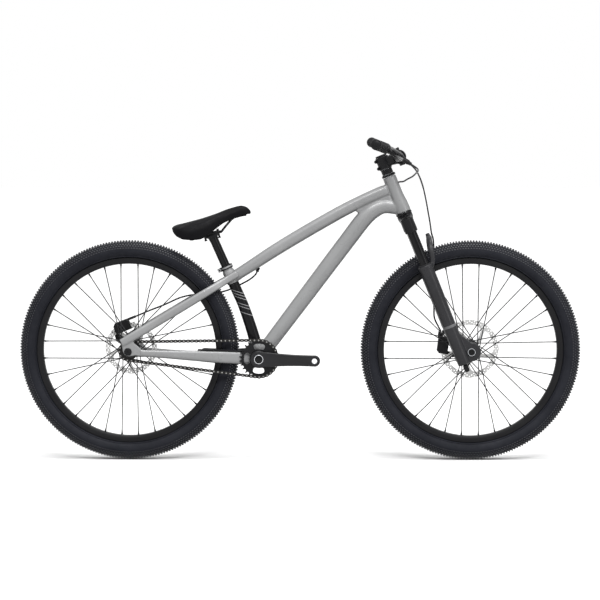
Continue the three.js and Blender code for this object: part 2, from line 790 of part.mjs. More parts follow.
function seatLugRoom() {
  const root = topTubeStart.clone().addScaledVector(topTubeRun.clone().normalize(), -seatLugReach);
  const depth = [topTubeSeatDepth * 2, topTubeSeatDepth * 2];
  return frameTube([root, lugTip(fitGap)], depth, [topTubeWidth * 2, topTubeWidth * 2], 2, 8, 4);
}

function lugForging(grow) {
  const depth = topTubeSeatDepth + 2 * grow;
  const width = topTubeWidth * topTubeWidthShares[0] + 2 * grow;
  return frameTube([topTubeStart.clone(), lugTip(grow)], [depth, depth], [width, width], 2, 10, 2.5);
}

function seatLug() {
  const bore = alongSeatPost(uprightRod(seatPostRadius + fitGap, -seatBoreDepth, cutOverrun, forkSides));
  return cut(join(seatLugBody(0), lugForging(0)), bore);
}

// Seat collar: a split clamp round the neck of the cluster, with its bolt across the back
function seatCollar() {
  const bore = seatTubeRadius + fitGap;
  const ring = turnedUpright([[bore, -collarHeight], [collarRadius, -collarHeight], [collarRadius, 0], [bore, 0],
    [bore, -collarHeight]], forkSides);
  const bolt = rod(collarBoltRadius, -collarBoltLength / 2, collarBoltLength / 2, 8);
  bolt.translate(-collarRadius - collarBoltRadius / 2, 0, -collarHeight / 2);
  const inside = uprightRod(bore, -collarHeight - cutOverrun, cutOverrun, forkSides);
  return alongSeatPost(cut(join(ring, bolt), inside));
}

// Bottom bracket: threaded shell with an outboard cup at each end
function bottomBracketShell() {
  const bore = spindleRadius + runningGap;
  const profile = [[bore, -cupOuterHalfWidth], [cupRadius, -cupOuterHalfWidth], [cupRadius, -shellHalfWidth],
    [shellRadius, -shellHalfWidth], [shellRadius, shellHalfWidth], [cupRadius, shellHalfWidth],
    [cupRadius, cupOuterHalfWidth], [bore, cupOuterHalfWidth], [bore, -cupOuterHalfWidth]];
  return turned(profile, 16).translate(bottomBracket.x, 0, bottomBracket.z);
}

// Chainstay with its dropout, on the left (side 1) or right (side -1); the left one hangs a little lower
function chainstayCentres(side, lift = 0, push = 0) {
  return chainstayAheadShares.map((ahead, i) => {
    const level = chainstayRiseShares[i] * bottomBracketAhead + lift * chainstayDepthShares[i];
    const drop = side > 0 ? leftChainstayDropShares[i] * leftChainstayDrop : 0;
    return new THREE.Vector3(rearAxle.x + chainstayStart + ahead * (bottomBracketAhead - chainstayStart),
      side * (chainstaySpreadShares[i] * stayFootOffset + push), rearAxle.z + level - drop);
  });
}

// The left dropout also carries the bracket for the rear end of the brake caliper
function dropoutPlates(side) {
  const flat = (alongs, rises) => outline(alongs.map((along, i) =>
    [rearAxle.x + along * dropoutHeight, rearAxle.z + rises[i] * dropoutHeight]));
  const inner = rearInnerHalfWidth + fitGap;
  const outer = inner + dropoutThickness;
  const dropout = flat(dropoutAlongShares, dropoutRiseShares);
  if (side < 0) return [plate(dropout, -outer, -inner)];
  return [plate(dropout, inner, outer), plate(flat(bracketAlongShares, bracketRiseShares), inner, outer)];
}

function axleHole(grow) {
  const hole = rod(rearAxleRadius + grow, -rearInnerHalfWidth * 2, rearInnerHalfWidth * 2, 12);
  return hole.translate(rearAxle.x, 0, rearAxle.z);
}

function chainstay(side) {
  const depths = chainstayDepthShares.map((share) => share * chainstayDepth);
  const widths = chainstayWidthShares.map((share) => share * chainstayWidth);
  const bar = frameTube(chainstayCentres(side), depths, widths, 8, 8, 2.8);
  return cut(join(bar, ...dropoutPlates(side)), bottomBracketRoom(), axleHole(fitGap));
}

// Seatstay: straight in side view, from the dropout past the seat tube to the top tube's side
function seatstayLine() {
  const foot = rearAxle.clone().add(new THREE.Vector3(-dropoutHeight / 2, 0, seatstayFootRise));
  return { foot, meet: seatTop.clone().addScaledVector(seatUp, -seatstayMeetDrop) };
}

function seatstayCentres(side) {
  const { foot, meet } = seatstayLine();
  return seatstayAlongShares.map((along, i) => {
    const centre = foot.clone().addScaledVector(meet.clone().sub(foot), along);
    centre.y = side * seatstaySpreadShares[i] * stayFootOffset;
    return centre;
  });
}

function seatstay(side) {
  const depths = seatstayDepthShares.map((share) => share * seatstayDepth);
  const widths = seatstayDepthShares.map((share) => share * seatstayWidth);
  const bar = frameTube(seatstayCentres(side), depths, widths, 9, 8, 2.6);
  const level = rearAxle.z + dropoutHeight + fitGap;
  const below = box(rearAxle.x - wheelRadius, rearAxle.x + wheelRadius, -wheelRadius, wheelRadius,
    rearAxle.z - wheelRadius, level);
  const ended = cut(bar, below, seatLugBody(fitGap), lugForging(fitGap));
  if (side < 0) return ended;
  const post = box(caliperHalfLength, caliperHalfLength + caliperEarLength, rearRotorOffset + caliperEarInner,
    rearRotorOffset + caliperEarOuter, rearRotorRadius - caliperInset - caliperPostDepth,
    rearRotorRadius - caliperInset - fitGap);
  return join(ended, atRearCaliper(post));
}

// Chain guard: a strip along the top of the right chainstay
function chainstayGuard() {
  const lift = chainstayDepth / 2;
  const centres = chainstayCentres(-1, lift).slice(2, 6);
  centres.forEach((centre) => { centre.z += guardThickness / 2 + fitGap; });
  const thickness = centres.map(() => guardThickness);
  const width = centres.map(() => guardWidth);
  return frameTube(centres, thickness, width, 6, 6, 4);
}

// Rear axle: a through bolt with a round head outside each dropout
function axleBolt(radius, halfWidth, headRadius, headHeight) {
  const inner = halfWidth + fitGap;
  return turned([[0, -inner - headHeight], [headRadius, -inner - headHeight], [headRadius, -inner], [radius, -inner],
    [radius, inner], [headRadius, inner], [headRadius, inner + headHeight], [0, inner + headHeight]], 10);
}

function rearAxleBolt() {
  const halfWidth = rearInnerHalfWidth + fitGap + dropoutThickness;
  return axleBolt(rearAxleRadius, halfWidth, axleBoltRadius, axleBoltHeight).translate(rearAxle.x, 0, rearAxle.z);
}

// Tyre: an open carcass whose beads sit inside the rim's flanges
function tyre() {
  const rise = wheelRadius - rimOuterRadius;
  const seat = rimOuterRadius - rimFlangeHeight + fitGap;
  const bead = rimInnerHalfWidth - fitGap;
  const outer = tyreOuterRiseShares.map((share, i) =>
    [rimOuterRadius + share * rise, tyreOuterWidthShares[i] * tyreHalfWidth]);
  const inner = tyreInnerRiseShares.map((share, i) =>
    [rimOuterRadius + share * rise, tyreInnerWidthShares[i] * (tyreHalfWidth - beadWidth)]);
  const half = [...outer, [rimOuterRadius + fitGap, bead], [seat, bead], [seat, bead - beadWidth], ...inner];
  return turned(mirroredProfile(half), wheelSides);
}

// Rim: flanges that hold the beads, and a bead seat
function rim() {
  const seat = rimOuterRadius - rimFlangeHeight;
  const half = [[seat, rimInnerHalfWidth], [rimOuterRadius, rimInnerHalfWidth],
    [rimOuterRadius, rimHalfWidth], [rimInnerRadius, rimBaseHalfWidth]];
  return turned(mirroredProfile(half), wheelSides);
}

// Hub shell: end caps, two spoke flanges, a rotor seat and, at the back, a driver for the cog
function hubShell(boreRadius, halfWidth, flangeRight, flangeLeft, rotorOffset, withDriver) {
  const end = halfWidth - fitGap;
  const rotorFace = rotorOffset - rotorThickness / 2 - fitGap;
  const right = -flangeRight;
  const half = flangeHalfThickness;
  const driver = [[hubCapRadius, -chainLine - driverHalfWidth], [driverRadius, -chainLine - driverHalfWidth],
    [driverRadius, right - half]];
  const plainEnd = [[hubCapRadius, right - 2 * half]];
  const profile = [[boreRadius, -end], [hubCapRadius, -end], ...(withDriver ? driver : plainEnd),
    [flangeRadius, right - half], [flangeRadius, right + half], [hubShellRadius, right + 2 * half],
    [hubShellRadius, flangeLeft - 2 * half], [flangeRadius, flangeLeft - half], [flangeRadius, flangeLeft + half],
    [rotorShoulderRadius, flangeLeft + 2 * half], [rotorShoulderRadius, rotorFace], [rotorSeatRadius, rotorFace],
    [rotorSeatRadius, rotorFace + rotorSeatLength], [hubCapRadius, rotorFace + rotorSeatLength],
    [hubCapRadius, end], [boreRadius, end], [boreRadius, -end]];
  return turned(profile, hubSides);
}

// Spokes leave each flange at a tangent, alternately forward and back, and cross three others
function spokes(flangeOffset, side) {
  const step = (2 * Math.PI) / spokesPerSide;
  const sweep = spokeCrossings * step;
  const start = flangeRadius - spokeHead;
  const end = rimInnerRadius - spokeRimGap;
  const list = [];
  for (let i = 0; i < spokesPerSide; i++) {
    const lead = i % 2 === 0 ? 1 : -1;
    const angle = (i + lacingTurnShare) * step + (side > 0 ? step / 2 : 0);
    const far = angle + lead * sweep;
    const from = new THREE.Vector3(start * Math.cos(angle), flangeOffset + lead * spokeFlangeOffset,
      start * Math.sin(angle));
    const to = new THREE.Vector3(end * Math.cos(far), side * spokeRimSpread + lead * spokeRimOffset,
      end * Math.sin(far));
    list.push(pipe([from, to], [spokeRadius, spokeRadius], 3, new THREE.Vector3(0, 1, 0)));
  }
  return list;
}

function hub(shell, flangeRight, flangeLeft) {
  return join(shell, ...spokes(-flangeRight, -1), ...spokes(flangeLeft, 1));
}

function frontHub() {
  const shell = hubShell(frontAxleRadius + runningGap, frontHubHalfWidth, frontFlangeRight, frontFlangeLeft,
    frontRotorOffset, false);
  return hub(shell, frontFlangeRight, frontFlangeLeft);
}

function rearHub() {
  const shell = hubShell(rearAxleRadius + runningGap, rearInnerHalfWidth, rearFlangeRight, rearFlangeLeft,
    rearRotorOffset, true);
  return hub(shell, rearFlangeRight, rearFlangeLeft);
}

// Rotor: a braking track on swept arms, round a ring that seats on the hub
function rotor(radius, offset) {
  const shape = outline(polygonPoints(radius, wheelSides));
  const ringRadius = rotorSeatRadius + fitGap + rotorHubRing;
  const trackRadius = radius - rotorTrackWidth;
  const step = (2 * Math.PI) / rotorArms;
  const sweep = turn(rotorSweepAngle);
  for (let i = 0; i < rotorArms; i++) {
    const innerHalf = step / 2 - rotorArmWidth / (2 * ringRadius);
    const outerHalf = step / 2 - rotorArmWidth / (2 * trackRadius);
    const innerMiddle = i * step;
    const outerMiddle = innerMiddle + sweep;
    const corners = [[ringRadius, innerMiddle - innerHalf], [ringRadius, innerMiddle + innerHalf],
      [trackRadius, outerMiddle + outerHalf], [trackRadius, outerMiddle + outerHalf / 3],
      [trackRadius, outerMiddle - outerHalf / 3], [trackRadius, outerMiddle - outerHalf]];
    shape.holes.push(new THREE.Path(corners.map(([r, angle]) =>
      new THREE.Vector2(r * Math.cos(angle), r * Math.sin(angle)))));
  }
  const bore = polygonPoints(rotorSeatRadius + fitGap, hubSides, Math.PI / hubSides * (hubSides % 4 ? 1 : 0));
  shape.holes.push(new THREE.Path(bore.map(([x, z]) => new THREE.Vector2(x, z))));
  return plate(shape, offset - rotorThickness / 2, offset + rotorThickness / 2);
}

// The chain's run: two arcs and two tangents, cut into an even number of equal pitches
const sprocketSpan = bottomBracket.clone().sub(rearAxle);
const centreDistance = Math.hypot(sprocketSpan.x, sprocketSpan.z);
const centreAngle = Math.atan2(sprocketSpan.z, sprocketSpan.x);

function effectiveRadius(teeth, pitch) {
  return (teeth * pitch) / (2 * Math.PI);
}

function chainRun(pitch) {
  const ring = effectiveRadius(chainringTeeth, pitch);
  const cog = effectiveRadius(cogTeeth, pitch);
  const lean = Math.asin((ring - cog) / centreDistance);
  const straight = centreDistance * Math.cos(lean);
  const ringWrap = Math.PI + 2 * lean;
  const cogWrap = Math.PI - 2 * lean;
  return { ring, cog, lean, straight, ringWrap, cogWrap, length: 2 * straight + ring * ringWrap + cog * cogWrap };
}

function fittedPitch() {
  const count = 2 * Math.round(chainRun(chainPitch).length / (2 * chainPitch));
  let pitch = chainPitch;
  for (let i = 0; i < 60; i++) pitch = chainRun(pitch).length / count;
  return { count, pitch };
}

const { count: linkCount, pitch: linkPitch } = fittedPitch();
const run = chainRun(linkPitch);

// Place and outward direction on the run, starting where the chain meets the chainring on top
function chainPlace(distance) {
  const whole = ((distance % run.length) + run.length) % run.length;
  const topAngle = centreAngle + Math.PI / 2 + run.lean;
  const bottomAngle = centreAngle - Math.PI / 2 - run.lean;
  const ringLength = run.ring * run.ringWrap;
  const cogLength = run.cog * run.cogWrap;
  const onCircle = (centre, radius, angle) => ({
    place: new THREE.Vector3(centre.x + radius * Math.cos(angle), 0, centre.z + radius * Math.sin(angle)),
    out: new THREE.Vector3(Math.cos(angle), 0, Math.sin(angle)),
  });
  const onTangent = (start, end, share, angle) => ({
    place: start.place.clone().lerp(end.place, share),
    out: new THREE.Vector3(Math.cos(angle), 0, Math.sin(angle)),
  });
  if (whole < ringLength) return onCircle(bottomBracket, run.ring, topAngle - whole / run.ring);
  const afterRing = whole - ringLength;
  if (afterRing < run.straight) {
    const start = onCircle(bottomBracket, run.ring, bottomAngle);
    return onTangent(start, onCircle(rearAxle, run.cog, bottomAngle), afterRing / run.straight, bottomAngle);
  }
  const afterLower = afterRing - run.straight;
  if (afterLower < cogLength) return onCircle(rearAxle, run.cog, bottomAngle - afterLower / run.cog);
  const start = onCircle(rearAxle, run.cog, topAngle);
  const afterCog = afterLower - cogLength;
  return onTangent(start, onCircle(bottomBracket, run.ring, topAngle), afterCog / run.straight, topAngle);
}

// Chain: plates that step in and out from link to link, joined by a roller at each pitch,
// with a station on each side of the roller
function chain() {
  const corners = [];
  const faces = [];
  const stations = [];
  for (let k = 0; k < linkCount; k++) {
    const inner = k % 2 === 0 ? innerPlateOffset : outerPlateOffset;
    const before = k % 2 === 0 ? outerPlateOffset : innerPlateOffset;
    stations.push({ at: k * linkPitch - rollerHalfLength, half: plateHeight / 2, offset: before, roller: true });
    stations.push({ at: k * linkPitch + rollerHalfLength, half: plateHeight / 2, offset: inner, roller: false });
  }
  for (const { at, half, offset } of stations) {
    const { place, out } = chainPlace(at);
    for (const sign of [-1, 1]) {
      for (const [across, rise] of [[offset, half], [offset + plateThickness, half],
        [offset + plateThickness, -half], [offset, -half]]) {
        const corner = place.clone().addScaledVector(out, rise);
        corner.y = -chainLine + sign * across;
        corners.push(...corner.toArray());
      }
    }
  }
  const quad = (a, b, c, d, flip) => {
    if (flip) faces.push(a, c, b, a, d, c);
    else faces.push(a, b, c, a, c, d);
  };
  stations.forEach(({ roller }, i) => {
    const here = i * 8;
    const next = ((i + 1) % stations.length) * 8;
    for (const side of [0, 4]) {
      for (let j = 0; j < 4; j++) {
        if (roller && j === 3) continue;
        const k = (j + 1) % 4;
        quad(here + side + j, here + side + k, next + side + k, next + side + j, side === 0);
      }
    }
    if (!roller) return;
    const ends = [[here, true], [next, false]];
    for (const [station, flip] of ends) quad(station, station + 4, station + 7, station + 3, flip);
    quad(here, here + 4, next + 4, next, false);
    quad(here + 3, here + 7, next + 7, next + 3, true);
  });
  const geometry = new THREE.BufferGeometry();
  geometry.setAttribute('position', new THREE.Float32BufferAttribute(corners, 3));
  geometry.setIndex(faces);
  return closed(geometry);
}

// Sprocket outline: a tooth stands between each pair of rollers
function sprocketShape(teeth, phase) {
  const radius = effectiveRadius(teeth, linkPitch);
  const tip = radius + toothTipRise;
  const root = radius - toothRootDrop;
  const points = [];
  for (let i = 0; i < teeth; i++) {
    const angle = phase + ((i + 0.5) * 2 * Math.PI) / teeth;
    for (const [r, half] of [[root, -toothRootHalfWidth], [tip, -toothTipHalfWidth], [tip, toothTipHalfWidth],
      [root, toothRootHalfWidth]]) {
      points.push([r * Math.cos(angle + half / r), r * Math.sin(angle + half / r)]);
    }
  }
  return outline(points);
}

function hole(points) {
  return new THREE.Path(points.map(([x, z]) => new THREE.Vector2(x, z)));
}

function chainring() {
  const shape = sprocketShape(chainringTeeth, centreAngle + Math.PI / 2 + run.lean);
  const half = turn(chainringWindowAngle);
  for (let i = 0; i < chainringWindows; i++) {
    const middle = (i * 2 * Math.PI) / chainringWindows - turn(crankTilt);
    const corners = windowAngleShares.map((share, j) => {
      const r = chainringWindowInner + windowReachShares[j] * (chainringWindowOuter - chainringWindowInner);
      return [r * Math.cos(middle + share * half), r * Math.sin(middle + share * half)];
    });
    shape.holes.push(hole(corners));
  }
  shape.holes.push(hole(polygonPoints(spindleCapRadius + fitGap, hubSides)));
  const middle = -chainLine;
  const ring = plate(shape, middle - sprocketThickness / 2, middle + sprocketThickness / 2);
  return ring.translate(bottomBracket.x, 0, bottomBracket.z);
}

function rearCog() {
  const topAngle = centreAngle + Math.PI / 2 + run.lean;
  const travelled = (run.ring * run.ringWrap + run.straight) % linkPitch;
  const shape = sprocketShape(cogTeeth, topAngle - run.ringWrap - (linkPitch - travelled) / run.cog);
  shape.holes.push(hole(polygonPoints(driverRadius + cogBoreGap, hubSides)));
  const cog = plate(shape, -chainLine - sprocketThickness / 2, -chainLine + sprocketThickness / 2);
  return cog.translate(rearAxle.x, 0, rearAxle.z);
}

// Crank arm: hub and pedal boss joined by straight flanks, as one bevelled plate
function crankShape() {
  const shape = new THREE.Shape();
  const lean = Math.acos((crankHubRadius - crankEndRadius) / crankLength);
  shape.absarc(0, 0, crankHubRadius, lean, 2 * Math.PI - lean, false);
  shape.absarc(crankLength, 0, crankEndRadius, -lean, lean, false);
  return shape;
}

function crankArmBody(side) {
  const inner = crankArmInner;
  const outer = crankArmInner + crankArmThickness;
  const [from, to] = side > 0 ? [inner, outer] : [-outer, -inner];
  const arm = plate(crankShape(), from, to, crankBevel);
  const pedal = rod(pedalHoleRadius, side * (inner - cutOverrun), side * (outer + cutOverrun), 12);
  return cut(arm, pedal.translate(crankLength, 0, 0));
}

function placeCrank(geometry, side) {
  const angle = turn(crankTilt) + (side > 0 ? Math.PI : 0);
  return geometry.rotateY(angle).translate(bottomBracket.x, 0, bottomBracket.z);
}

function crankArmRight() {
  const face = chainLine + sprocketThickness / 2 + fitGap;
  const boss = rod(crankHubRadius, -crankArmInner - crankBevel, -face, hubSides);
  const pilot = rod(spindleCapRadius, -face - fitGap, -cupOuterHalfWidth - runningGap, hubSides);
  const bore = rod(spindleRadius + fitGap, -crankArmInner - crankArmThickness - cutOverrun, 0, hubSides);
  return placeCrank(cut(join(crankArmBody(-1), boss, pilot), bore), -1);
}

function crankArmLeft() {
  const boss = rod(crankHubRadius, cupOuterHalfWidth + runningGap, crankArmInner + crankBevel, hubSides);
  const end = crankArmInner + crankArmThickness - spindleRecess;
  const spindle = rod(spindleRadius, -end, crankArmInner, hubSides);
  const hollow = rod(spindleRadius - spindleWall, -end - cutOverrun, end + cutOverrun * 2, hubSides);
  return placeCrank(cut(join(crankArmBody(1), boss, spindle), hollow), 1);
}

// Fork crown: a forged bridge with a socket for each stanchion, bored for the steerer
function forkCrown() {
  const top = -crownDrop;
  const middleTop = -crownSocketTop;
  const rings = crownAcrossShares.map((share) => {
    const away = Math.abs(share);
    const centreZ = (top - crownHeight / 2) * (1 - away) + (middleTop - crownHeight / 2) * away;
    const centre = new THREE.Vector3(0, share * legOffset, centreZ);
    const depth = crownHalfDepth * (1 - away) + crownEndHalfDepth * away;
    return polygonPoints(1, 8, Math.PI / 8).map(([u, v]) =>
      new THREE.Vector3(centre.x + u * depth, centre.y, centre.z + v * crownHeight / 2));
  });
  const boss = uprightRod(crownBossRadius, -crownDrop - crownBossDepth, -lowerCupHeight - fitGap, headSides);
  let crown = join(skin(rings), boss);
  for (const side of [-1, 1]) {
    const socket = uprightRod(crownSocketRadius, -crownSocketBottom, -crownSocketTop, forkSides);
    crown = join(crown, socket.translate(0, side * legOffset, 0));
  }
  const bores = [-1, 1].map((side) => {
    const bore = uprightRod(stanchionRadius + fitGap, -crownSocketBottom - cutOverrun, -crownSocketTop + cutOverrun,
      forkSides);
    return bore.translate(0, side * legOffset, 0);
  });
  const steererBore = uprightRod(steererRadius + fitGap, -crownDrop - crownHeight - cutOverrun, cutOverrun, headSides);
  return cut(crown, steererBore, ...bores);
}

function steererTube() {
  const top = headTubeLength + upperCupHeight + spacerHeight + stemHeight - cutOverrun / 2;
  const bottom = -crownDrop - crownHeight / 2;
  const inner = steererRadius - steererWall;
  return turnedUpright([[inner, bottom], [steererRadius, bottom], [steererRadius, top], [inner, top],
    [inner, bottom]], headSides);
}

// Stanchion: a thin tube with its top cap, held in the crown and sliding in the lowers
function stanchion(side) {
  const top = -crownSocketTop + crownSocketCap;
  const bottom = top - stanchionLength;
  const inner = stanchionRadius - stanchionWall;
  const profile = [[0, top + stanchionCapHeight], [stanchionCapRadius, top + stanchionCapHeight],
    [stanchionCapRadius, top], [stanchionRadius, top], [stanchionRadius, bottom], [inner, bottom],
    [inner, top - stanchionCapHeight], [0, top - stanchionCapHeight]];
  return turnedUpright(profile, forkSides).translate(0, side * legOffset, 0);
}

// Fork arch: a bowed bridge in front of the stanchions, over the tyre
function forkArch() {
  const across = [...archAcrossShares, ...archAcrossShares.slice(0, -1).reverse().map((share) => -share)];
  const mirror = (list) => [...list, ...list.slice(0, -1).reverse()];
  const rises = mirror(archRiseShares);
  const forwards = mirror(archForwardShares);
  const footAcross = legOffset - archThickness / 4;
  const centres = across.map((share, i) => new THREE.Vector3(forwards[i] * archForward, share * footAcross,
    rises[i] * archRise - lowersTop - wiperHeight));
  const rings = centres.map((centre, i) => {
    const before = centres[Math.max(i - 1, 0)];
    const after = centres[Math.min(i + 1, centres.length - 1)];
    const along = after.clone().sub(before).setX(0).normalize();
    const out = new THREE.Vector3(0, along.z, -along.y).multiplyScalar(archThickness / 2);
    const ahead = new THREE.Vector3(archWidth / 2, 0, 0);
    return [[1, 1], [1, -1], [-1, -1], [-1, 1]].map(([u, v]) =>
      centre.clone().addScaledVector(out, u).addScaledVector(ahead, v));
  });
  return skin(rings);
}

// Lug that carries the axle ahead of the leg, rounded about the axle
function forkDropout(side) {
  const shape = new THREE.Shape();
  const legRear = -lowersBottomRadius * Math.cos(turn(headAngle / 2));
  shape.moveTo(legRear, -lowersBottom);
  const from = turn(-dropoutLugBackAngle);
  shape.absarc(forkRake, -axleToHead, dropoutLugRadius, from, turn(dropoutLugFrontAngle), false);
  shape.lineTo(crownEndHalfDepth, -axleToHead + dropoutLugRise);
  shape.lineTo(legRear, -axleToHead + dropoutLugRise);
  const inner = forkInnerHalfWidth + fitGap;
  const outer = inner + dropoutLugThickness;
  const lug = side > 0 ? plate(shape, inner, outer) : plate(shape, -outer, -inner);
  return lug;
}

// Posts behind the left leg, level with the caliper's two ears
function caliperPosts(grow) {
  const inner = frontRotorOffset + caliperEarInner;
  const outer = frontRotorOffset + caliperEarOuter;
  return caliperPostRises.map((rise) => box(-caliperPostReach - grow, -lowersBottomRadius / 2, inner - grow,
    outer + grow, rise - axleToHead - caliperPostHeight / 2 - grow, rise - axleToHead + caliperPostHeight / 2 + grow));
}

// Fork lowers: two bored legs, wipers, arch, dropouts and the posts for the caliper
function forkLowers() {
  const shoulder = lowersTopRadius + wiperFlare;
  const leg = (side) => turnedUpright([[0, -lowersTop], [shoulder, -lowersTop], [shoulder, -lowersTop - wiperHeight],
    [lowersTopRadius, -lowersTop - wiperHeight], [lowersBottomRadius, -lowersBottom], [0, -lowersBottom]], forkSides)
    .translate(0, side * legOffset, 0);
  const solid = join(leg(-1), leg(1), forkDropout(-1), forkDropout(1), forkArch(), ...caliperPosts(0));
  const bores = [-1, 1].map((side) => uprightRod(stanchionRadius + fitGap, -lowersTop - lowersBoreDepth,
    -lowersTop + archRise, forkSides).translate(0, side * legOffset, 0));
  const bothWays = legOffset * 2;
  const axleBore = rod(frontAxleRadius + fitGap, -bothWays, bothWays, 12).translate(forkRake, 0, -axleToHead);
  return cut(solid, ...bores, axleBore);
}

function frontAxleBolt() {
  const halfWidth = forkInnerHalfWidth + fitGap + dropoutLugThickness;
  return axleBolt(frontAxleRadius, halfWidth, axleRingRadius, axleRingHeight).translate(forkRake, 0, -axleToHead);
}

function reboundKnob() {
  const top = -lowersBottom - fitGap;
  const profile = [[0, top], [knobRadius - knobNeck / 2, top], [knobRadius, top - knobNeck],
    [knobRadius, top - knobHeight + knobNeck], [knobRadius - knobNeck / 2, top - knobHeight], [0, top - knobHeight]];
  return turnedUpright(profile, 10).translate(0, -legOffset, 0);
}

// Headset spacer, stem, faceplate and cap
const stemBase = headTubeLength + upperCupHeight + spacerHeight + 2 * fitGap;
const barHeight = stemBase + stemHeight / 2;

function headsetSpacer() {
  const bottom = headTubeLength + upperCupHeight + runningGap;
  const top = stemBase - fitGap;
  const bore = steererRadius + fitGap;
  const profile = [[bore, bottom], [spacerRadius, bottom], [spacerRadius, top], [bore, top], [bore, bottom]];
  return turnedUpright(profile, headSides);
}

function barClamp(radius) {
  return rod(radius, -barClampHalfWidth, barClampHalfWidth, 16).translate(stemReach, 0, barHeight);
}

function barBore() {
  return rod(barClampedRadius + fitGap, -barClampHalfWidth - cutOverrun, barClampHalfWidth + cutOverrun, barSides)
    .translate(stemReach, 0, barHeight);
}

function ears() {
  const reach = barClampRadius + faceplateEar;
  const depth = faceplateEar + fitGap;
  return box(stemReach - depth, stemReach + depth, -barClampHalfWidth, barClampHalfWidth, barHeight - reach,
    barHeight + reach);
}

function stem() {
  const post = uprightRod(stemClampRadius, stemBase, stemBase + stemHeight, headSides);
  const rings = stemAlongShares.map((share, i) => {
    const halfWidth = stemWidthShares[i] * stemWaistHalfWidth;
    const halfHeight = stemHeightShares[i] * stemWaistHalfHeight;
    return [[1, 1], [1, -1], [-1, -1], [-1, 1]].map(([u, v]) =>
      new THREE.Vector3(share * stemReach, u * halfWidth, barHeight + v * halfHeight));
  });
  const bolts = stemBoltRiseShares.map((share) => rod(stemBoltRadius, -stemBoltHalfLength, stemBoltHalfLength, 8)
    .translate(-stemBoltBack, 0, stemBase + share * stemHeight));
  const whole = join(skin(rings), post, barClamp(barClampRadius), ears(), ...bolts);
  const front = box(stemReach, stemReach * 2, -stemReach, stemReach, barHeight - stemReach, barHeight + stemReach);
  const bore = uprightRod(steererRadius + fitGap, stemBase - cutOverrun, stemBase + stemHeight + cutOverrun, headSides);
  return cut(whole, front, bore, barBore());
}

function stemFaceplate() {
  const reach = barClampRadius + faceplateEar / 2;
  let whole = join(barClamp(barClampRadius), ears());
  for (const rise of [-1, 1]) {
    for (const side of [-1, 1]) {
      const bolt = uprightRod(faceplateBoltRadius, 0, faceplateEar + faceplateBoltHeight + fitGap, 6)
        .rotateY(Math.PI / 2);
      bolt.translate(stemReach + fitGap * 2, side * (barClampHalfWidth - faceplateEar), barHeight + rise * reach);
      whole = join(whole, bolt);
    }
  }
  const back = box(-stemReach, stemReach + fitGap, -stemReach, stemReach, barHeight - stemReach, barHeight + stemReach);
  return cut(whole, back, barBore());
}

function stemCap() {
  const bottom = stemBase + stemHeight + fitGap;
  const edge = stemCapHeight / 4;
  return turnedUpright([[0, bottom], [spacerRadius, bottom], [spacerRadius, bottom + stemCapHeight - edge],
    [spacerRadius - edge, bottom + stemCapHeight], [0, bottom + stemCapHeight]], headSides);
}

// Handlebar: clamped middle, tapering bends and straight ends with back- and upsweep
function barPoint(i, side) {
  return new THREE.Vector3(stemReach - barBackShares[i] * barBack, side * barAcrossShares[i] * barHalfLength,
    barHeight + barRiseShares[i] * barRise);
}

function handlebar() {
  const order = barAcrossShares.map((_, i) => i);
  const left = order.map((i) => barPoint(i, 1));
  const right = order.slice(1).reverse().map((i) => barPoint(i, -1));
  const radius = (i) => barEndRadius + (barClampedRadius - barEndRadius) * barRadiusShares[i];
  const radii = [...order.slice(1).reverse().map(radius), ...order.map(radius)];
  const points = [...right, ...left];
  return pipe(points, radii, barSides, new THREE.Vector3(0, 0, 1));
}

// A point on the straight end of the bar, a distance across from the middle
function gripPoint(across, side) {
  const last = barAcrossShares.length - 1;
  const from = barPoint(last - 1, side);
  const to = barPoint(last, side);
  return from.lerp(to, (across - Math.abs(from.y)) / (Math.abs(to.y) - Math.abs(from.y)));
}

function grip(side) {
  const start = barHalfLength - gripLength;
  const step = gripLength / (2 * gripRibs);
  const outer = [];
  const radii = [];
  for (let i = 0; i <= 2 * gripRibs; i++) {
    outer.push(gripPoint(start + i * step, side));
    radii.push(i % 2 === 0 ? gripRadius : gripRadius - gripWall / 5);
  }
  outer.push(gripPoint(barHalfLength + gripEnd, side));
  radii.push(gripRadius - gripWall / 2);
  const up = new THREE.Vector3(0, 0, 1);
  const body = pipe(outer, radii, barSides, up);
  const bore = barEndRadius + fitGap;
  const hollow = [gripPoint(start - cutOverrun, side), gripPoint(barHalfLength + fitGap, side)];
  return cut(body, pipe(hollow, [bore, bore], barSides, up));
}

// Lever assembly frame: X forward from the bar along the cylinder, Y outward along the bar
function leverFrame(side) {
  const centre = gripPoint(leverClampAcross, side);
  const outward = gripPoint(barHalfLength, side).sub(centre).normalize();
  const angle = turn(leverDrop);
  const forward = new THREE.Vector3(Math.cos(angle), 0, -Math.sin(angle));
  forward.addScaledVector(outward, -forward.dot(outward)).normalize();
  const upward = new THREE.Vector3().crossVectors(forward, outward);
  return new THREE.Matrix4().makeBasis(forward, outward, upward).setPosition(centre);
}

function barThrough(radius, halfLength) {
  return rod(radius, -halfLength, halfLength, barSides);
}

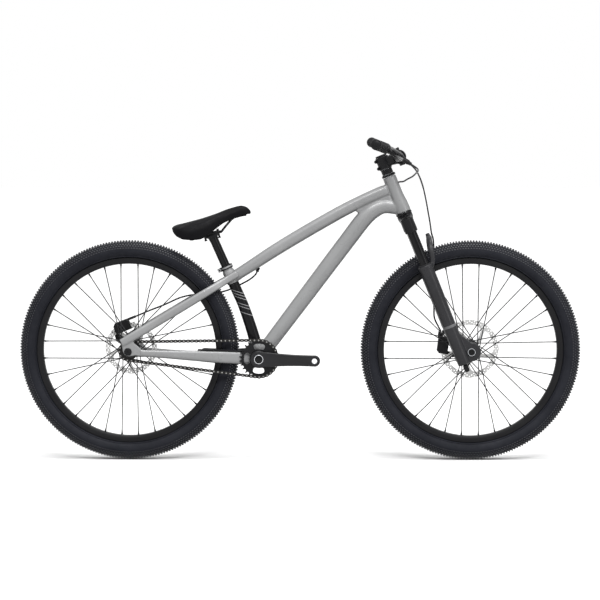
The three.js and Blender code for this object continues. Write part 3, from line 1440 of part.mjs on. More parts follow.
function masterCylinder() {
  const clamp = barThrough(leverClampRadius, leverClampWidth / 2);
  const body = uprightRod(masterRadius, masterStart, masterLength, masterSides).rotateY(Math.PI / 2);
  const halfEars = leverThickness / 2 + leverEarWall + fitGap;
  const boss = uprightRod(leverEarRadius, -halfEars, halfEars, 8).translate(leverPivotReach, leverPivotOut, 0);
  const web = box(leverPivotReach - leverEarRadius, leverPivotReach + leverEarRadius, 0, leverPivotOut, -halfEars,
    halfEars);
  const gap = leverThickness / 2 + fitGap;
  const room = leverRootRadius + runningGap * 2;
  const slot = box(leverPivotReach - leverEarRadius * 2, leverPivotReach + leverEarRadius * 2, leverPivotOut - room,
    leverPivotOut + leverEarRadius * 2, -gap, gap);
  const pin = uprightRod(leverPinRadius, -halfEars + fitGap, halfEars - fitGap, 8)
    .translate(leverPivotReach, leverPivotOut, 0);
  const slotted = cut(join(body, boss, web), slot);
  const bore = barThrough(barEndRadius + fitGap, leverClampWidth + cutOverrun);
  return cut(join(clamp, slotted, pin), bore);
}

function brakeLever() {
  const root = uprightRod(leverRootRadius, -leverThickness / 2, leverThickness / 2, 12);
  const rings = leverOutShares.map((out, i) => {
    const x = leverReachShares[i] * leverReach;
    const y = out * leverOut;
    const previous = Math.max(i - 1, 0);
    const next = Math.min(i + 1, leverOutShares.length - 1);
    const alongX = (leverReachShares[next] - leverReachShares[previous]) * leverReach;
    const alongY = (leverOutShares[next] - leverOutShares[previous]) * leverOut;
    const length = Math.hypot(alongX, alongY);
    const side = new THREE.Vector3(alongY / length, -alongX / length, 0).multiplyScalar(leverWidth / 2);
    const up = new THREE.Vector3(0, 0, leverThickness / 2);
    const middle = new THREE.Vector3(x, y, 0);
    return [[1, 0], [0.5, -1], [-0.5, -1], [-1, 0], [-0.5, 1], [0.5, 1]].map(([u, v]) =>
      middle.clone().addScaledVector(side, u).addScaledVector(up, v));
  });
  const eye = uprightRod(leverPinRadius + runningGap, -leverThickness, leverThickness, 10);
  return cut(join(skin(rings), root), eye).translate(leverPivotReach, leverPivotOut, 0);
}

// Caliper, made about its axle: X along the rotor's edge, Z outwards from the axle
function caliper(rotorRadius, rotorOffset, banjoLength, earTo, earRiseAhead, earRiseBehind) {
  const inner = rotorRadius - caliperInset;
  const outer = rotorRadius + caliperOverhang;
  const length = caliperHalfLength;
  const shape = outline([[-length, inner], [length, inner], [length, outer - caliperChamfer],
    [length - caliperChamfer, outer], [caliperChamfer - length, outer], [-length, outer - caliperChamfer]]);
  let body = plate(shape, rotorOffset - caliperHalfWidth, rotorOffset + caliperHalfWidth, fitGap * 5);
  const earFrom = rotorOffset + caliperEarInner;
  const earEnd = length + caliperEarLength;
  const ear = (from, to, rise) => box(from, to, earFrom, earTo, rise, rise + caliperEarHeight);
  body = join(body, ear(length - caliperChamfer, earEnd, inner + earRiseAhead),
    ear(-earEnd, caliperChamfer - length, inner + earRiseBehind));
  const banjoRise = rotorRadius + caliperOverhang - banjoRadius;
  const banjo = uprightRod(banjoRadius, 0, caliperChamfer + banjoLength, 8).rotateY(Math.PI / 2);
  body = join(body, banjo.translate(caliperChamfer, rotorOffset + caliperHalfWidth / 4, banjoRise));
  const halfSlot = rotorThickness / 2 + padGap + padThickness + fitGap;
  const slot = box(-length - cutOverrun, length + cutOverrun, rotorOffset - halfSlot, rotorOffset + halfSlot,
    inner - cutOverrun, rotorRadius + 2 * fitGap);
  return cut(body, slot);
}

function brakePad(rotorRadius, rotorOffset, side) {
  const near = rotorThickness / 2 + padGap;
  const far = near + padThickness;
  const bottom = rotorRadius - rotorTrackWidth;
  const from = rotorOffset + side * near;
  const to = rotorOffset + side * far;
  return box(-padHalfLength, padHalfLength, Math.min(from, to), Math.max(from, to), bottom, bottom + padHeight);
}

function atRearCaliper(geometry) {
  return geometry.rotateY(turn(rearCaliperAngle)).translate(rearAxle.x, 0, rearAxle.z);
}

function atFrontCaliper(geometry) {
  return geometry.rotateY(turn(frontCaliperAngle) - steeringTilt).translate(forkRake, 0, -axleToHead);
}

function rearCaliper() {
  const made = caliper(rearRotorRadius, rearRotorOffset, rearBanjoLength, rearInnerHalfWidth, 0, 0);
  return atRearCaliper(made);
}

function frontCaliper() {
  const made = caliper(frontRotorRadius, frontRotorOffset, frontBanjoLength, frontRotorOffset + caliperEarOuter,
    frontEarRise, -frontEarDrop);
  const leg = uprightRod(lowersTopRadius + fitGap, -lowersBottom, -lowersTop, forkSides).translate(0, legOffset, 0);
  return cut(atFrontCaliper(made), leg, ...caliperPosts(fitGap));
}

// Hose ends: the front of a master cylinder, the banjo of a caliper and a port in the top tube
function masterEnd(side) {
  const end = new THREE.Vector3(masterLength + fitGap, 0, 0).applyMatrix4(leverFrame(side));
  return end.applyAxisAngle(new THREE.Vector3(0, 1, 0), steeringTilt).add(headBase);
}

function banjoEnd(axle, rotorRadius, rotorOffset, banjoLength, angle) {
  const end = new THREE.Vector3(2 * caliperChamfer + banjoLength + fitGap, rotorOffset + caliperHalfWidth / 4,
    rotorRadius + caliperOverhang - banjoRadius);
  return end.applyAxisAngle(new THREE.Vector3(0, 1, 0), turn(angle)).add(axle);
}

function portPoint([along, arch, across]) {
  const point = topTubePoint(along, arch);
  point.y = across;
  return point;
}

// A route laid by hand: the points next to each end go with its fitting, and this fades towards the middle
function laid(points, start, end) {
  const startShift = start.clone().sub(points[0]);
  const endShift = end.clone().sub(points.at(-1));
  const hold = (steps) => THREE.MathUtils.clamp((hoseHoldCount - steps) / hoseFadeCount, 0, 1);
  return points.map((point, i) => {
    const fromEnd = points.length - 1 - i;
    return point.clone().addScaledVector(startShift, hold(i)).addScaledVector(endShift, hold(fromEnd));
  });
}

function fromHead(route) {
  return route.map((place) => new THREE.Vector3(...place).add(headBase));
}

function frontHoseLine() {
  const end = banjoEnd(frontAxle, frontRotorRadius, frontRotorOffset, frontBanjoLength, frontCaliperAngle);
  return laid(fromHead(frontHoseRoute), masterEnd(1), end);
}

function barHoseLine() {
  return laid(fromHead(rearHoseFrontRoute), masterEnd(-1), portPoint(entryPort));
}

function stayHoseLine() {
  const end = banjoEnd(rearAxle, rearRotorRadius, rearRotorOffset, rearBanjoLength, rearCaliperAngle);
  const { foot, meet } = seatstayLine();
  const run = meet.clone().sub(foot);
  const normal = new THREE.Vector3(-run.z, 0, run.x).normalize();
  const points = stayHoseAlongShares.map((along, i) => {
    const point = foot.clone().lerp(meet, along).addScaledVector(normal, stayHoseRises[i]);
    point.y = stayHoseAcross[i];
    return point;
  });
  return laid(points, portPoint(exitPort), end);
}

// Saddle: rings across the body, each an arch over a hollow underside
const clampCentre = seatTop.clone().addScaledVector(seatUp, clampAlongPost);
const saddleOriginX = clampCentre.x - saddleBehindClamp;
const saddleBase = clampCentre.z - saddleUnderClamp;

function saddleStation(i) {
  const x = saddleOriginX + saddleAlongShares[i] * saddleLength;
  const bottom = saddleBase + saddleBottomShares[i] * saddleHeight;
  const top = saddleBase + saddleTopShares[i] * saddleHeight;
  const halfWidth = saddleWidthShares[i] * saddleHalfWidth;
  const roof = top - (top - bottom) * saddleWallShares[i];
  return { x, bottom, top, halfWidth, roof };
}

function saddleCushion() {
  const rings = saddleAlongShares.map((_, i) => {
    const { x, bottom, top, halfWidth, roof } = saddleStation(i);
    const over = saddleRingAcrossShares.map((across, j) =>
      new THREE.Vector3(x, across * halfWidth, bottom + saddleRingRiseShares[j] * (top - bottom)));
    const under = saddleUnderAcrossShares.map((across, j) =>
      new THREE.Vector3(x, across * halfWidth, bottom + saddleUnderRiseShares[j] * (roof - bottom)));
    return [...over, ...under];
  });
  return skin(rings);
}

function saddleShell() {
  const stations = saddleAlongShares.map((_, i) => i).slice(2, -2);
  const gap = fitGap * 3;
  const rings = stations.map((i) => {
    const { x, bottom, halfWidth, roof } = saddleStation(i);
    const line = (drop) => saddleUnderAcrossShares.map((across, j) => {
      const reach = across * (halfWidth - drop);
      const sunk = saddleUnderRiseShares[j] > 0 ? drop : 0;
      return new THREE.Vector3(x, reach, bottom + saddleUnderRiseShares[j] * (roof - bottom) - sunk);
    });
    return [...line(gap), ...line(gap + saddleShellThickness).reverse()];
  });
  return skin(rings);
}

function saddleRails() {
  const place = (along, rise, across) => [saddleOriginX + along * saddleLength, across * railSpacing,
    saddleBase + rise * saddleHeight];
  const rear = railRearAlongShares.map((along, i) => place(along, railRearRiseShares[i], 1));
  const front = railFrontAlongShares.map((along, i) => place(along, railFrontRiseShares[i], railFrontAcrossShares[i]));
  const level = railClampShares.map((share) => {
    const reach = share * clampHalfLength;
    return [clampCentre.x + reach * Math.cos(turn(clampTilt)), railSpacing,
      clampCentre.z + reach * Math.sin(turn(clampTilt))];
  });
  const half = [...rear, ...level, ...front];
  const back = half.slice(0, -1).reverse().map(([x, y, z]) => [x, -y, z]);
  const route = [...half, ...back].map((place) => new THREE.Vector3(...place));
  return bent(route, railRadius, railSides, railSteps);
}

// Clamp: two plates over and under the rails, drawn together by a bolt at each end
function clampPlace(geometry) {
  return geometry.rotateY(-turn(clampTilt)).translate(clampCentre.x, 0, clampCentre.z);
}

function seatPost() {
  const neck = clampAlongPost - clampPlate * 2;
  const whole = alongSeatPost(turnedUpright([[0, -postInsert], [seatPostRadius, -postInsert],
    [seatPostRadius, neck - clampPlate], [postHeadRadius, neck], [postHeadRadius, clampAlongPost],
    [0, clampAlongPost]], forkSides));
  const under = -railRadius - runningGap - clampPlate - fitGap;
  const above = clampPlace(box(-clampHalfLength * 2, clampHalfLength * 2, -clampHalfWidth * 2, clampHalfWidth * 2,
    under, clampHalfLength * 2));
  return cut(whole, above);
}

function saddleClamp() {
  const reach = railRadius + runningGap;
  const upper = box(-clampHalfLength, clampHalfLength, -clampHalfWidth, clampHalfWidth, -clampPlate / 2,
    reach + clampPlate / 2);
  const lowerHalfLength = clampHalfLength * clampLowerShare;
  const lower = box(-lowerHalfLength, lowerHalfLength, -clampHalfWidth, clampHalfWidth, -reach - clampPlate,
    clampPlate / 2);
  const bolts = [-1, 1].map((end) => uprightRod(clampBoltRadius, -reach - clampPlate * 2, reach + clampPlate, 6)
    .translate(end * (clampHalfLength - clampBoltRadius), 0, 0));
  const channels = [-1, 1].map((side) => uprightRod(reach, -clampHalfLength * 2, clampHalfLength * 2, hoseSides)
    .rotateY(Math.PI / 2).translate(0, side * railSpacing, 0));
  return clampPlace(cut(join(upper, lower, ...bolts), ...channels));
}

// The frame and what is fixed to it
addPiece('head_tube', headTube(), frameSilver, 0.4, 0.6);
addPiece('top_tube', topTube(), frameSilver, 0.4, 0.6);
addPiece('down_tube', downTube(), frameSilver, 0.4, 0.6);
addPiece('seat_lug', seatLug(), frameSilver, 0.4, 0.6);
addPiece('seat_tube', seatTube(), tubeBlack, 0.4, 0.4);
addPiece('bottom_bracket_shell', bottomBracketShell(), frameSilver, 0.4, 0.6);
addPiece('chainstay_right', chainstay(-1), frameSilver, 0.4, 0.6);
addPiece('chainstay_left', chainstay(1), frameSilver, 0.4, 0.6);
addPiece('seatstay_right', seatstay(-1), frameSilver, 0.4, 0.6);
addPiece('seatstay_left', seatstay(1), frameSilver, 0.4, 0.6);
addPiece('seat_collar', seatCollar(), satinBlack, 0.45, 0.5);
addPiece('chainstay_guard', chainstayGuard(), rubberBlack, 0.8, 0);
addPiece('headset_cup_upper', upperCup(), satinBlack, 0.4, 0.5);
addPiece('headset_cup_lower', lowerCup(), satinBlack, 0.4, 0.5);
addPiece('chain', chain(), chainDark, 0.45, 0.8);
addPiece('rear_caliper', rearCaliper(), satinBlack, 0.5, 0.4);
addPiece('rear_hose_front', bent(barHoseLine(), hoseRadius, hoseSides, rearHoseFrontSteps), rubberBlack, 0.5, 0);
addPiece('rear_hose_rear', bent(stayHoseLine(), hoseRadius, hoseSides, rearHoseRearSteps), rubberBlack, 0.5, 0);
addPiece('rear_axle', rearAxleBolt(), steelPale, 0.35, 0.9);
const rearPad = (side) => atRearCaliper(brakePad(rearRotorRadius, rearRotorOffset, side));
addPiece('rear_pad_inner', rearPad(-1), satinBlack, 0.7, 0.2);
addPiece('rear_pad_outer', rearPad(1), satinBlack, 0.7, 0.2);

// Seat post and saddle
addPiece('seatpost', seatPost(), glossBlack, 0.25, 0.4);
addPiece('saddle_clamp', saddleClamp(), satinBlack, 0.45, 0.5);
addPiece('saddle_rails', saddleRails(), satinBlack, 0.4, 0.6);
addPiece('saddle_shell', saddleShell(), rubberBlack, 0.6, 0);
addPiece('saddle_cushion', saddleCushion(), coverBlack, 0.7, 0);

// Steered pieces
addPiece('steerer_tube', steererTube(), steelPale, 0.4, 0.8, steering);
addPiece('fork_crown', forkCrown(), satinBlack, 0.4, 0.5, steering);
addPiece('stanchion_right', stanchion(-1), glossBlack, 0.2, 0.6, steering);
addPiece('stanchion_left', stanchion(1), glossBlack, 0.2, 0.6, steering);
addPiece('headset_spacer', headsetSpacer(), satinBlack, 0.4, 0.5, steering);
addPiece('stem', stem(), satinBlack, 0.4, 0.5, steering);
addPiece('stem_faceplate', stemFaceplate(), satinBlack, 0.4, 0.5, steering);
addPiece('stem_cap', stemCap(), satinBlack, 0.4, 0.5, steering);
addPiece('handlebar', handlebar(), tubeBlack, 0.4, 0.4, steering);
addPiece('grip_right', grip(-1), rubberBlack, 0.85, 0, steering);
addPiece('grip_left', grip(1), rubberBlack, 0.85, 0, steering);
for (const [name, side] of [['right', -1], ['left', 1]]) {
  const place = leverFrame(side);
  addPiece(`master_cylinder_${name}`, masterCylinder().applyMatrix4(place), satinBlack, 0.4, 0.5, steering);
  addPiece(`brake_lever_${name}`, brakeLever().applyMatrix4(place), satinBlack, 0.4, 0.5, steering);
}
addPiece('front_hose', bent(frontHoseLine(), hoseRadius, hoseSides, frontHoseSteps), rubberBlack, 0.5, 0);

// Fork lowers and what rides on them
addPiece('fork_lowers', forkLowers(), forkGrey, 0.4, 0.5, steering);
addPiece('front_axle', frontAxleBolt(), satinBlack, 0.35, 0.7, steering);
addPiece('front_caliper', frontCaliper(), satinBlack, 0.5, 0.4, steering);
addPiece('rebound_knob', reboundKnob(), steelPale, 0.35, 0.8, steering);
const frontPad = (side) => atFrontCaliper(brakePad(frontRotorRadius, frontRotorOffset, side));
addPiece('front_pad_inner', frontPad(-1), satinBlack, 0.7, 0.2, steering);
addPiece('front_pad_outer', frontPad(1), satinBlack, 0.7, 0.2, steering);

// Wheels
const frontWheel = new THREE.Group();
const rearWheel = new THREE.Group();
frontWheel.position.copy(frontAxle);
rearWheel.position.copy(rearAxle);
bicycle.add(frontWheel, rearWheel);
addPiece('front_tyre', tyre(), rubberBlack, 0.85, 0, frontWheel);
addPiece('front_rim', rim(), satinBlack, 0.45, 0.4, frontWheel);
addPiece('front_hub', frontHub(), spokeGrey, 0.4, 0.7, frontWheel);
addPiece('front_rotor', rotor(frontRotorRadius, frontRotorOffset), steelPale, 0.3, 0.9, frontWheel);
addPiece('rear_tyre', tyre(), rubberBlack, 0.85, 0, rearWheel);
addPiece('rear_rim', rim(), satinBlack, 0.45, 0.4, rearWheel);
addPiece('rear_hub', rearHub(), spokeGrey, 0.4, 0.7, rearWheel);
addPiece('rear_rotor', rotor(rearRotorRadius, rearRotorOffset), steelPale, 0.3, 0.9, rearWheel);
addPiece('rear_cog', rearCog(), steelPale, 0.4, 0.8);

// Crankset
addPiece('crank_arm_right', crankArmRight(), forkGrey, 0.4, 0.6);
addPiece('crank_arm_left', crankArmLeft(), forkGrey, 0.4, 0.6);
addPiece('chainring', chainring(), satinBlack, 0.4, 0.6);

export default bicycle;
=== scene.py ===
# %% [markdown]
# # A dirt jump bike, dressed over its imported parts
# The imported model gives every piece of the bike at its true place, as plain faceted solids. This lesson
# builds a finer surface for each of them with numpy, gives each its finish, and lights the whole bike
# like a product photograph. Sizes in the cells are millimetres, as on a workshop drawing, and turn into
# Blender's metres only when a mesh is made.

import bmesh
import bpy
import numpy as np
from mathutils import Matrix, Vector
from mathutils.geometry import tessellate_polygon


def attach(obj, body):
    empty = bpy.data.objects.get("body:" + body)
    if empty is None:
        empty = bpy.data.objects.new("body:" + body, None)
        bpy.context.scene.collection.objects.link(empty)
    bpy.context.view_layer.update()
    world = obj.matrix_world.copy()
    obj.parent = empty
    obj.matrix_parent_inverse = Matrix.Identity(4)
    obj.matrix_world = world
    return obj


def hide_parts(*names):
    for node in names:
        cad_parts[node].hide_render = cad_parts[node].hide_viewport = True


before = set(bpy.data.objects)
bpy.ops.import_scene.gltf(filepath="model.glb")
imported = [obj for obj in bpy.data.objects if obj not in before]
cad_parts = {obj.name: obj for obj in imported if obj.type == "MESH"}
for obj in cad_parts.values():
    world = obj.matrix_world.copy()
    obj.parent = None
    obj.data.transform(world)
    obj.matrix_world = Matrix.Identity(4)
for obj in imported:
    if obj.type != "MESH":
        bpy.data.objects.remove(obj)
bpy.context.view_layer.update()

# %% [markdown]
# ## The camera first
# A camera far away with a long lens keeps a bicycle's two wheels alike. Lines that run across the bike
# meet a little right of and above the picture's middle, which says that the camera stands slightly
# ahead of the middle of the bike and looks down by four degrees.

# %% Camera at the photograph's place
picture_width = 600
mm_per_pixel = 3.07
camera_distance = 7.5
sensor_width = 36.0
across_meeting = np.array([30.0, 180.0]) * mm_per_pixel / 1000 / camera_distance
looking = Vector((-across_meeting[0], 1.0, -across_meeting[1])).normalized()
aim = Vector((0.0002, 0.0, 0.491))
lens = bpy.data.cameras.new("photo_lens")
lens.sensor_width = sensor_width
lens.lens = sensor_width * camera_distance / (picture_width * mm_per_pixel / 1000)
camera = bpy.data.objects.new("photo_camera", lens)
bpy.context.scene.collection.objects.link(camera)
camera.location = aim - looking * camera_distance
camera.rotation_euler = looking.to_track_quat("-Z", "Y").to_euler()
bpy.context.scene.camera = camera
print("camera at", tuple(round(v, 3) for v in camera.location), "lens", round(lens.lens, 1))

# %% [markdown]
# ## Smooth curves through measured points
# The tubes of a bike are drawn by a few stations along a line. A centripetal Catmull-Rom curve goes
# through every station without loops or overshoot, and it can carry the tube's depth and width along
# with the place, because it treats them as more numbers of the same point.

# %% Curves
def smooth_path(points, count, start=0.0, end=1.0):
    """Points on a centripetal Catmull-Rom curve: a cubic between each two neighbours, whose slopes come
    from the distances to the points before and after, raised to the power of one half. The first three
    numbers of a point are its place, and any others are carried along."""
    p = np.asarray(points, float)
    p = np.vstack([2 * p[0] - p[1], p, 2 * p[-1] - p[-2]])
    position = np.linspace(start, end, count) * (len(p) - 3)
    k = np.minimum(position.astype(int), len(p) - 4)
    w = (position - k)[:, None]
    a, b, c, d = p[k], p[k + 1], p[k + 2], p[k + 3]
    gap = lambda u, v: np.maximum(np.linalg.norm((v - u)[:, :3], axis=1), 1e-4)[:, None] ** 0.5
    g0, g1, g2 = gap(a, b), gap(b, c), gap(c, d)
    s0 = ((b - a) / g0 - (c - a) / (g0 + g1) + (c - b) / g1) * g1
    s1 = ((c - b) / g1 - (d - b) / (g1 + g2) + (d - c) / g2) * g1
    return b + s0 * w + (3 * (c - b) - 2 * s0 - s1) * w**2 + (2 * (b - c) + s0 + s1) * w**3


def unit(vectors):
    """Each row divided by its length."""
    return vectors / np.maximum(np.linalg.norm(vectors, axis=-1, keepdims=True), 1e-12)


def slopes(points):
    """The direction of a path at each of its points: the next point less the one before."""
    return unit(np.gradient(np.asarray(points, float), axis=0))


def circle(radius, count, start=0.0):
    """Corners of a regular polygon: radius times the cosine and sine of evenly spaced angles."""
    angle = start + np.arange(count) * 2 * np.pi / count
    return radius * np.stack([np.cos(angle), np.sin(angle)], axis=1)


print("curve test", smooth_path([[0, 0, 0], [1, 0, 0], [2, 1, 0]], 3).round(3).tolist())

# %% [markdown]
# ## Surfaces as grids
# Nearly every piece is a grid of rings: a lathe turns one profile about an axis, a loft carries a
# section along a path, and a slab stands an outline up between two planes. Each helper returns corners
# and faces as arrays, so several of them can be joined into one mesh.

# %% Rings, lofts and lathes
def grid_faces(rows, columns, close_rows=False):
    """Quads of a grid whose columns join round, and whose last row joins the first one if asked."""
    i, j = np.meshgrid(np.arange(rows if close_rows else rows - 1), np.arange(columns), indexing="ij")
    n, m = (i + 1) % rows, (j + 1) % columns
    return np.stack([i * columns + j, i * columns + m, n * columns + m, n * columns + j], -1).reshape(-1, 4)


def loft(rings, close_rows=False):
    """A skin over rings of equal count, with a flat face on each end unless the rings close on themselves."""
    rings = np.asarray(rings, float)
    rows, columns = rings.shape[:2]
    faces = grid_faces(rows, columns, close_rows).tolist()
    if not close_rows:
        last = (rows - 1) * columns
        faces += [list(range(columns))[::-1], [last + j for j in range(columns)]]
    return rings.reshape(-1, 3), faces


def lathe(profile, sides, axis="y", start=0.0):
    """A profile of radius and place along the axis, turned about it. It closes on itself unless it starts
    and ends on the axis."""
    profile = np.asarray(profile, float)
    on_axis = profile[0, 0] == 0 and profile[-1, 0] == 0
    turn = circle(1.0, sides, start)
    r, along = profile[:, 0][:, None], np.repeat(profile[:, 1][:, None], sides, 1)
    u, v = r * turn[:, 0], r * turn[:, 1]
    rings = np.stack([u, along, v] if axis == "y" else [u, v, along], -1)
    corners, faces = loft(rings, close_rows=True)
    return corners, faces[:-sides] if on_axis else faces


def mirrored(half):
    """A closed profile from its upper half: the half, and then the same points with their signs turned."""
    half = np.asarray(half, float)
    back = half[::-1] * [1, -1]
    return np.vstack([half, back[np.abs(back[:, 1]) > 1e-9]])


print("lofts and lathes ready")

# %% Bars and frame tubes
def bar(points, radii, sides=24, reference=(0, 0, 1), caps=True):
    """A round bar along points: at each one a circle square to the path, with its own radius. Each end
    gets a short rounding, a circle a little smaller and a little further out."""
    points = np.asarray(points, float)
    radii = np.broadcast_to(np.asarray(radii, float), (len(points),))
    along = slopes(points)
    if caps:
        chamfer = np.minimum(radii[[0, -1]] * 0.18, 0.8)
        points = np.vstack([points[0], points[0] + along[0] * chamfer[0], points[1:-1],
                            points[-1] - along[-1] * chamfer[1], points[-1]])
        first, last = [radii[0] - chamfer[0], radii[0]], [radii[-1], radii[-1] - chamfer[1]]
        radii = np.concatenate([first, radii[1:-1], last])
        along = np.vstack([along[:1], along, along[-1:]])
    side = unit(np.cross(along, np.asarray(reference, float)))
    up = np.cross(side, along)
    turn = circle(1.0, sides)
    outwards = side[:, None] * turn[:, 0, None] + up[:, None] * turn[:, 1, None]
    return loft(points[:, None] + radii[:, None, None] * outwards)


def super_section(count, squareness):
    """A ring between an ellipse and a rectangle: cosine and sine, each raised to 2 / squareness. With two
    numbers the width and the depth differ, and a depth near one gives a ridge along each side."""
    across, deep = np.broadcast_to(squareness, 2)
    angle = np.arange(count) * 2 * np.pi / count
    bend = lambda v, power: np.sign(v) * np.abs(v) ** (2 / power)
    return np.stack([bend(np.cos(angle), across), bend(np.sin(angle), deep)], 1)


def frame_tube(centres, depths, widths, count=60, squareness=2.4, sides=48):
    """A frame tube: the stations' curve, with a section square to it in the middle plane. Depth lies in
    that plane and width runs across the bike."""
    halves = np.column_stack([np.asarray(centres, float), np.asarray(depths) / 2, np.asarray(widths) / 2])
    line = smooth_path(halves, count)
    along = slopes(line[:, :3])
    normal = unit(np.stack([-along[:, 2], 0 * along[:, 0], along[:, 0]], 1))
    section = super_section(sides, squareness)
    rings = line[:, None, :3] + normal[:, None] * (line[:, 3, None] * section[:, 1])[:, :, None]
    rings[:, :, 1] += line[:, 4, None] * section[:, 0]
    return loft(rings)


print("bars and frame tubes ready")

# %% Slabs with rounded rims
def inset(loop, amount):
    """A closed outline moved inwards by an amount along the mean of its two edge normals."""
    edge = unit(np.roll(loop, -1, 0) - loop)
    normal = np.stack([-edge[:, 1], edge[:, 0]], 1)
    return loop + unit(normal + np.roll(normal, 1, 0)) * amount


def ordered(loop, leftwards=True):
    """The outline in the wanted turning direction, told by the sign of its area."""
    area = np.sum(loop[:, 0] * np.roll(loop[:, 1], -1) - loop[:, 1] * np.roll(loop[:, 0], -1))
    return loop if (area > 0) == leftwards else loop[::-1]


def slab(outer, low, high, bevel=0.0, holes=(), steps=1):
    """An outline in X and Z, with holes, standing between two places along Y. Its rims are rounded in steps
    by insetting the outline along a quarter circle, and its two flat faces are cut into triangles."""
    loops = [ordered(np.asarray(outer, float))] + [ordered(np.asarray(h, float), False) for h in holes]
    corners, faces, base = [], [], 0
    turn = np.linspace(0, np.pi / 2, steps + 1)
    rim = list(zip(bevel * (1 - np.cos(turn)), bevel * (1 - np.sin(turn)))) if bevel else [(0.0, 0.0)]
    levels = [(low + d, i) for d, i in rim] + [(high - d, i) for d, i in rim[::-1]]
    starts = []
    for loop in loops:
        rings = np.stack([np.insert(inset(loop, amount), 1, y, axis=1) for y, amount in levels])
        faces += (grid_faces(len(levels), len(loop)) + base).tolist()
        starts.append(base)
        corners.append(rings.reshape(-1, 3))
        base += rings.shape[0] * rings.shape[1]
    flat = [[Vector((*p, 0.0)) for p in inset(loop, levels[0][1])] for loop in loops]
    index = np.concatenate([s + np.arange(len(loop)) for s, loop in zip(starts, loops)])
    to_top = np.concatenate([np.full(len(loop), (len(levels) - 1) * len(loop)) for loop in loops])
    triangles = np.array(tessellate_polygon(flat), int)
    faces += index[triangles].tolist() + (index + to_top)[triangles][:, ::-1].tolist()
    return np.vstack(corners), faces


print("slabs ready")

# %% Moving and joining
def moved(surface, offset=(0, 0, 0), forward=None, up=None):
    """The surface turned so that its X lies along forward and its Z along up, and then moved."""
    corners, faces = surface
    if forward is not None:
        x = unit(np.asarray(forward, float))
        z = np.asarray(up, float)
        z = unit(z - x * np.dot(x, z))
        corners = corners @ np.stack([x, np.cross(z, x), z])
    return corners + np.asarray(offset, float), faces


def joined(surfaces):
    """Several surfaces as one list of corners and faces."""
    corners, faces, base = [], [], 0
    for points, cells in surfaces:
        corners.append(points)
        faces += [[v + base for v in cell] for cell in cells]
        base += len(points)
    return np.vstack(corners), faces


print("moving and joining ready")

# %% [markdown]
# ## From arrays to a piece
# A piece is one mesh whose doubled corners are merged and whose faces look outwards. It gets its finish
# and the body that it moves with, and the imported nodes that it stands for are hidden. Edges
# sharper than a given angle stay crisp, and all the others shade smoothly. Where tubes are welded or a
# piece is cast, its solids are laid into each other, a voxel remesh melts them into one skin, and a few
# rounds of smoothing leave a soft fillet in the corners.

# %% Making a piece
def tidy_mesh(mesh, sharp_degrees):
    """Merges doubled corners, turns the faces outwards and marks the crisp edges."""
    work = bmesh.new()
    work.from_mesh(mesh)
    bmesh.ops.remove_doubles(work, verts=work.verts, dist=2e-6)
    bmesh.ops.dissolve_degenerate(work, edges=work.edges, dist=1e-7)
    bmesh.ops.recalc_face_normals(work, faces=work.faces)
    work.to_mesh(mesh)
    work.free()
    mesh.polygons.foreach_set("use_smooth", np.ones(len(mesh.polygons), bool))
    mesh.set_sharp_from_angle(angle=np.radians(sharp_degrees))


def placed(made, finish, body, slot, *nodes):
    """Gives an object its finish and its body, and hides the nodes that it stands for. Its slot is not used.
    """
    made.data.materials.clear()
    made.data.materials.append(finish)
    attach(made, body)
    if nodes:
        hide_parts(*nodes)
    print(made.name, len(made.data.polygons), "faces")
    return made


def piece(name, surfaces, finish, body, slot, *nodes, sharp=35, remesh=0.0, soften=0, subdivide=0):
    """Joins surfaces given in millimetres into one object of the bike."""
    corners, faces = joined(surfaces)
    mesh = bpy.data.meshes.new(name)
    mesh.from_pydata((corners * 0.001).tolist(), [], faces)
    tidy_mesh(mesh, sharp)
    made = bpy.data.objects.new(name, mesh)
    bpy.context.scene.collection.objects.link(made)
    if remesh:
        blend = made.modifiers.new("blend", "REMESH")
        blend.mode, blend.voxel_size, blend.use_smooth_shade = "VOXEL", remesh * 0.001, True
        smooth = made.modifiers.new("soften", "SMOOTH")
        smooth.factor, smooth.iterations = 0.5, soften
    if subdivide:
        fine = made.modifiers.new("fine", "SUBSURF")
        fine.levels = fine.render_levels = subdivide
    return placed(made, finish, body, slot, *nodes)


def refined_node(node, finish, body, slot, bevel=0.8, flat_degrees=2.0):
    """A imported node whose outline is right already: its mesh is copied, merged and joined into flat
    faces, and its edges are bevelled as a machined or cast piece's are."""
    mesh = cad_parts[node].data.copy()
    work = bmesh.new()
    work.from_mesh(mesh)
    bmesh.ops.remove_doubles(work, verts=work.verts, dist=5e-6)
    bmesh.ops.dissolve_limit(work, angle_limit=np.radians(flat_degrees), verts=work.verts, edges=work.edges)
    work.to_mesh(mesh)
    work.free()
    mesh.polygons.foreach_set("use_smooth", np.ones(len(mesh.polygons), bool))
    mesh.set_sharp_from_angle(angle=np.radians(32))
    made = bpy.data.objects.new(node + "_fine", mesh)
    bpy.context.scene.collection.objects.link(made)
    edge = made.modifiers.new("edge", "BEVEL")
    edge.width, edge.segments, edge.use_clamp_overlap = bevel * 0.001, 2, True
    edge.limit_method, edge.angle_limit = "ANGLE", np.radians(32)
    return placed(made, finish, body, slot, node)


print("pieces are made by", piece.__name__, "and", refined_node.__name__)

# %% [markdown]
# ## Finishes
# A finish on a bike is never one flat colour. Paint has a faint orange peel and drifts a little in tone,
# anodised alloy has a fine grain, rubber is dull and dusty, and steel carries brush marks. All of them
# share one recipe: a slow noise moves the colour and the roughness, and a fine noise gives the bump.
# The noise reads Object coordinates, so it stays put on a piece and needs no unwrapping.

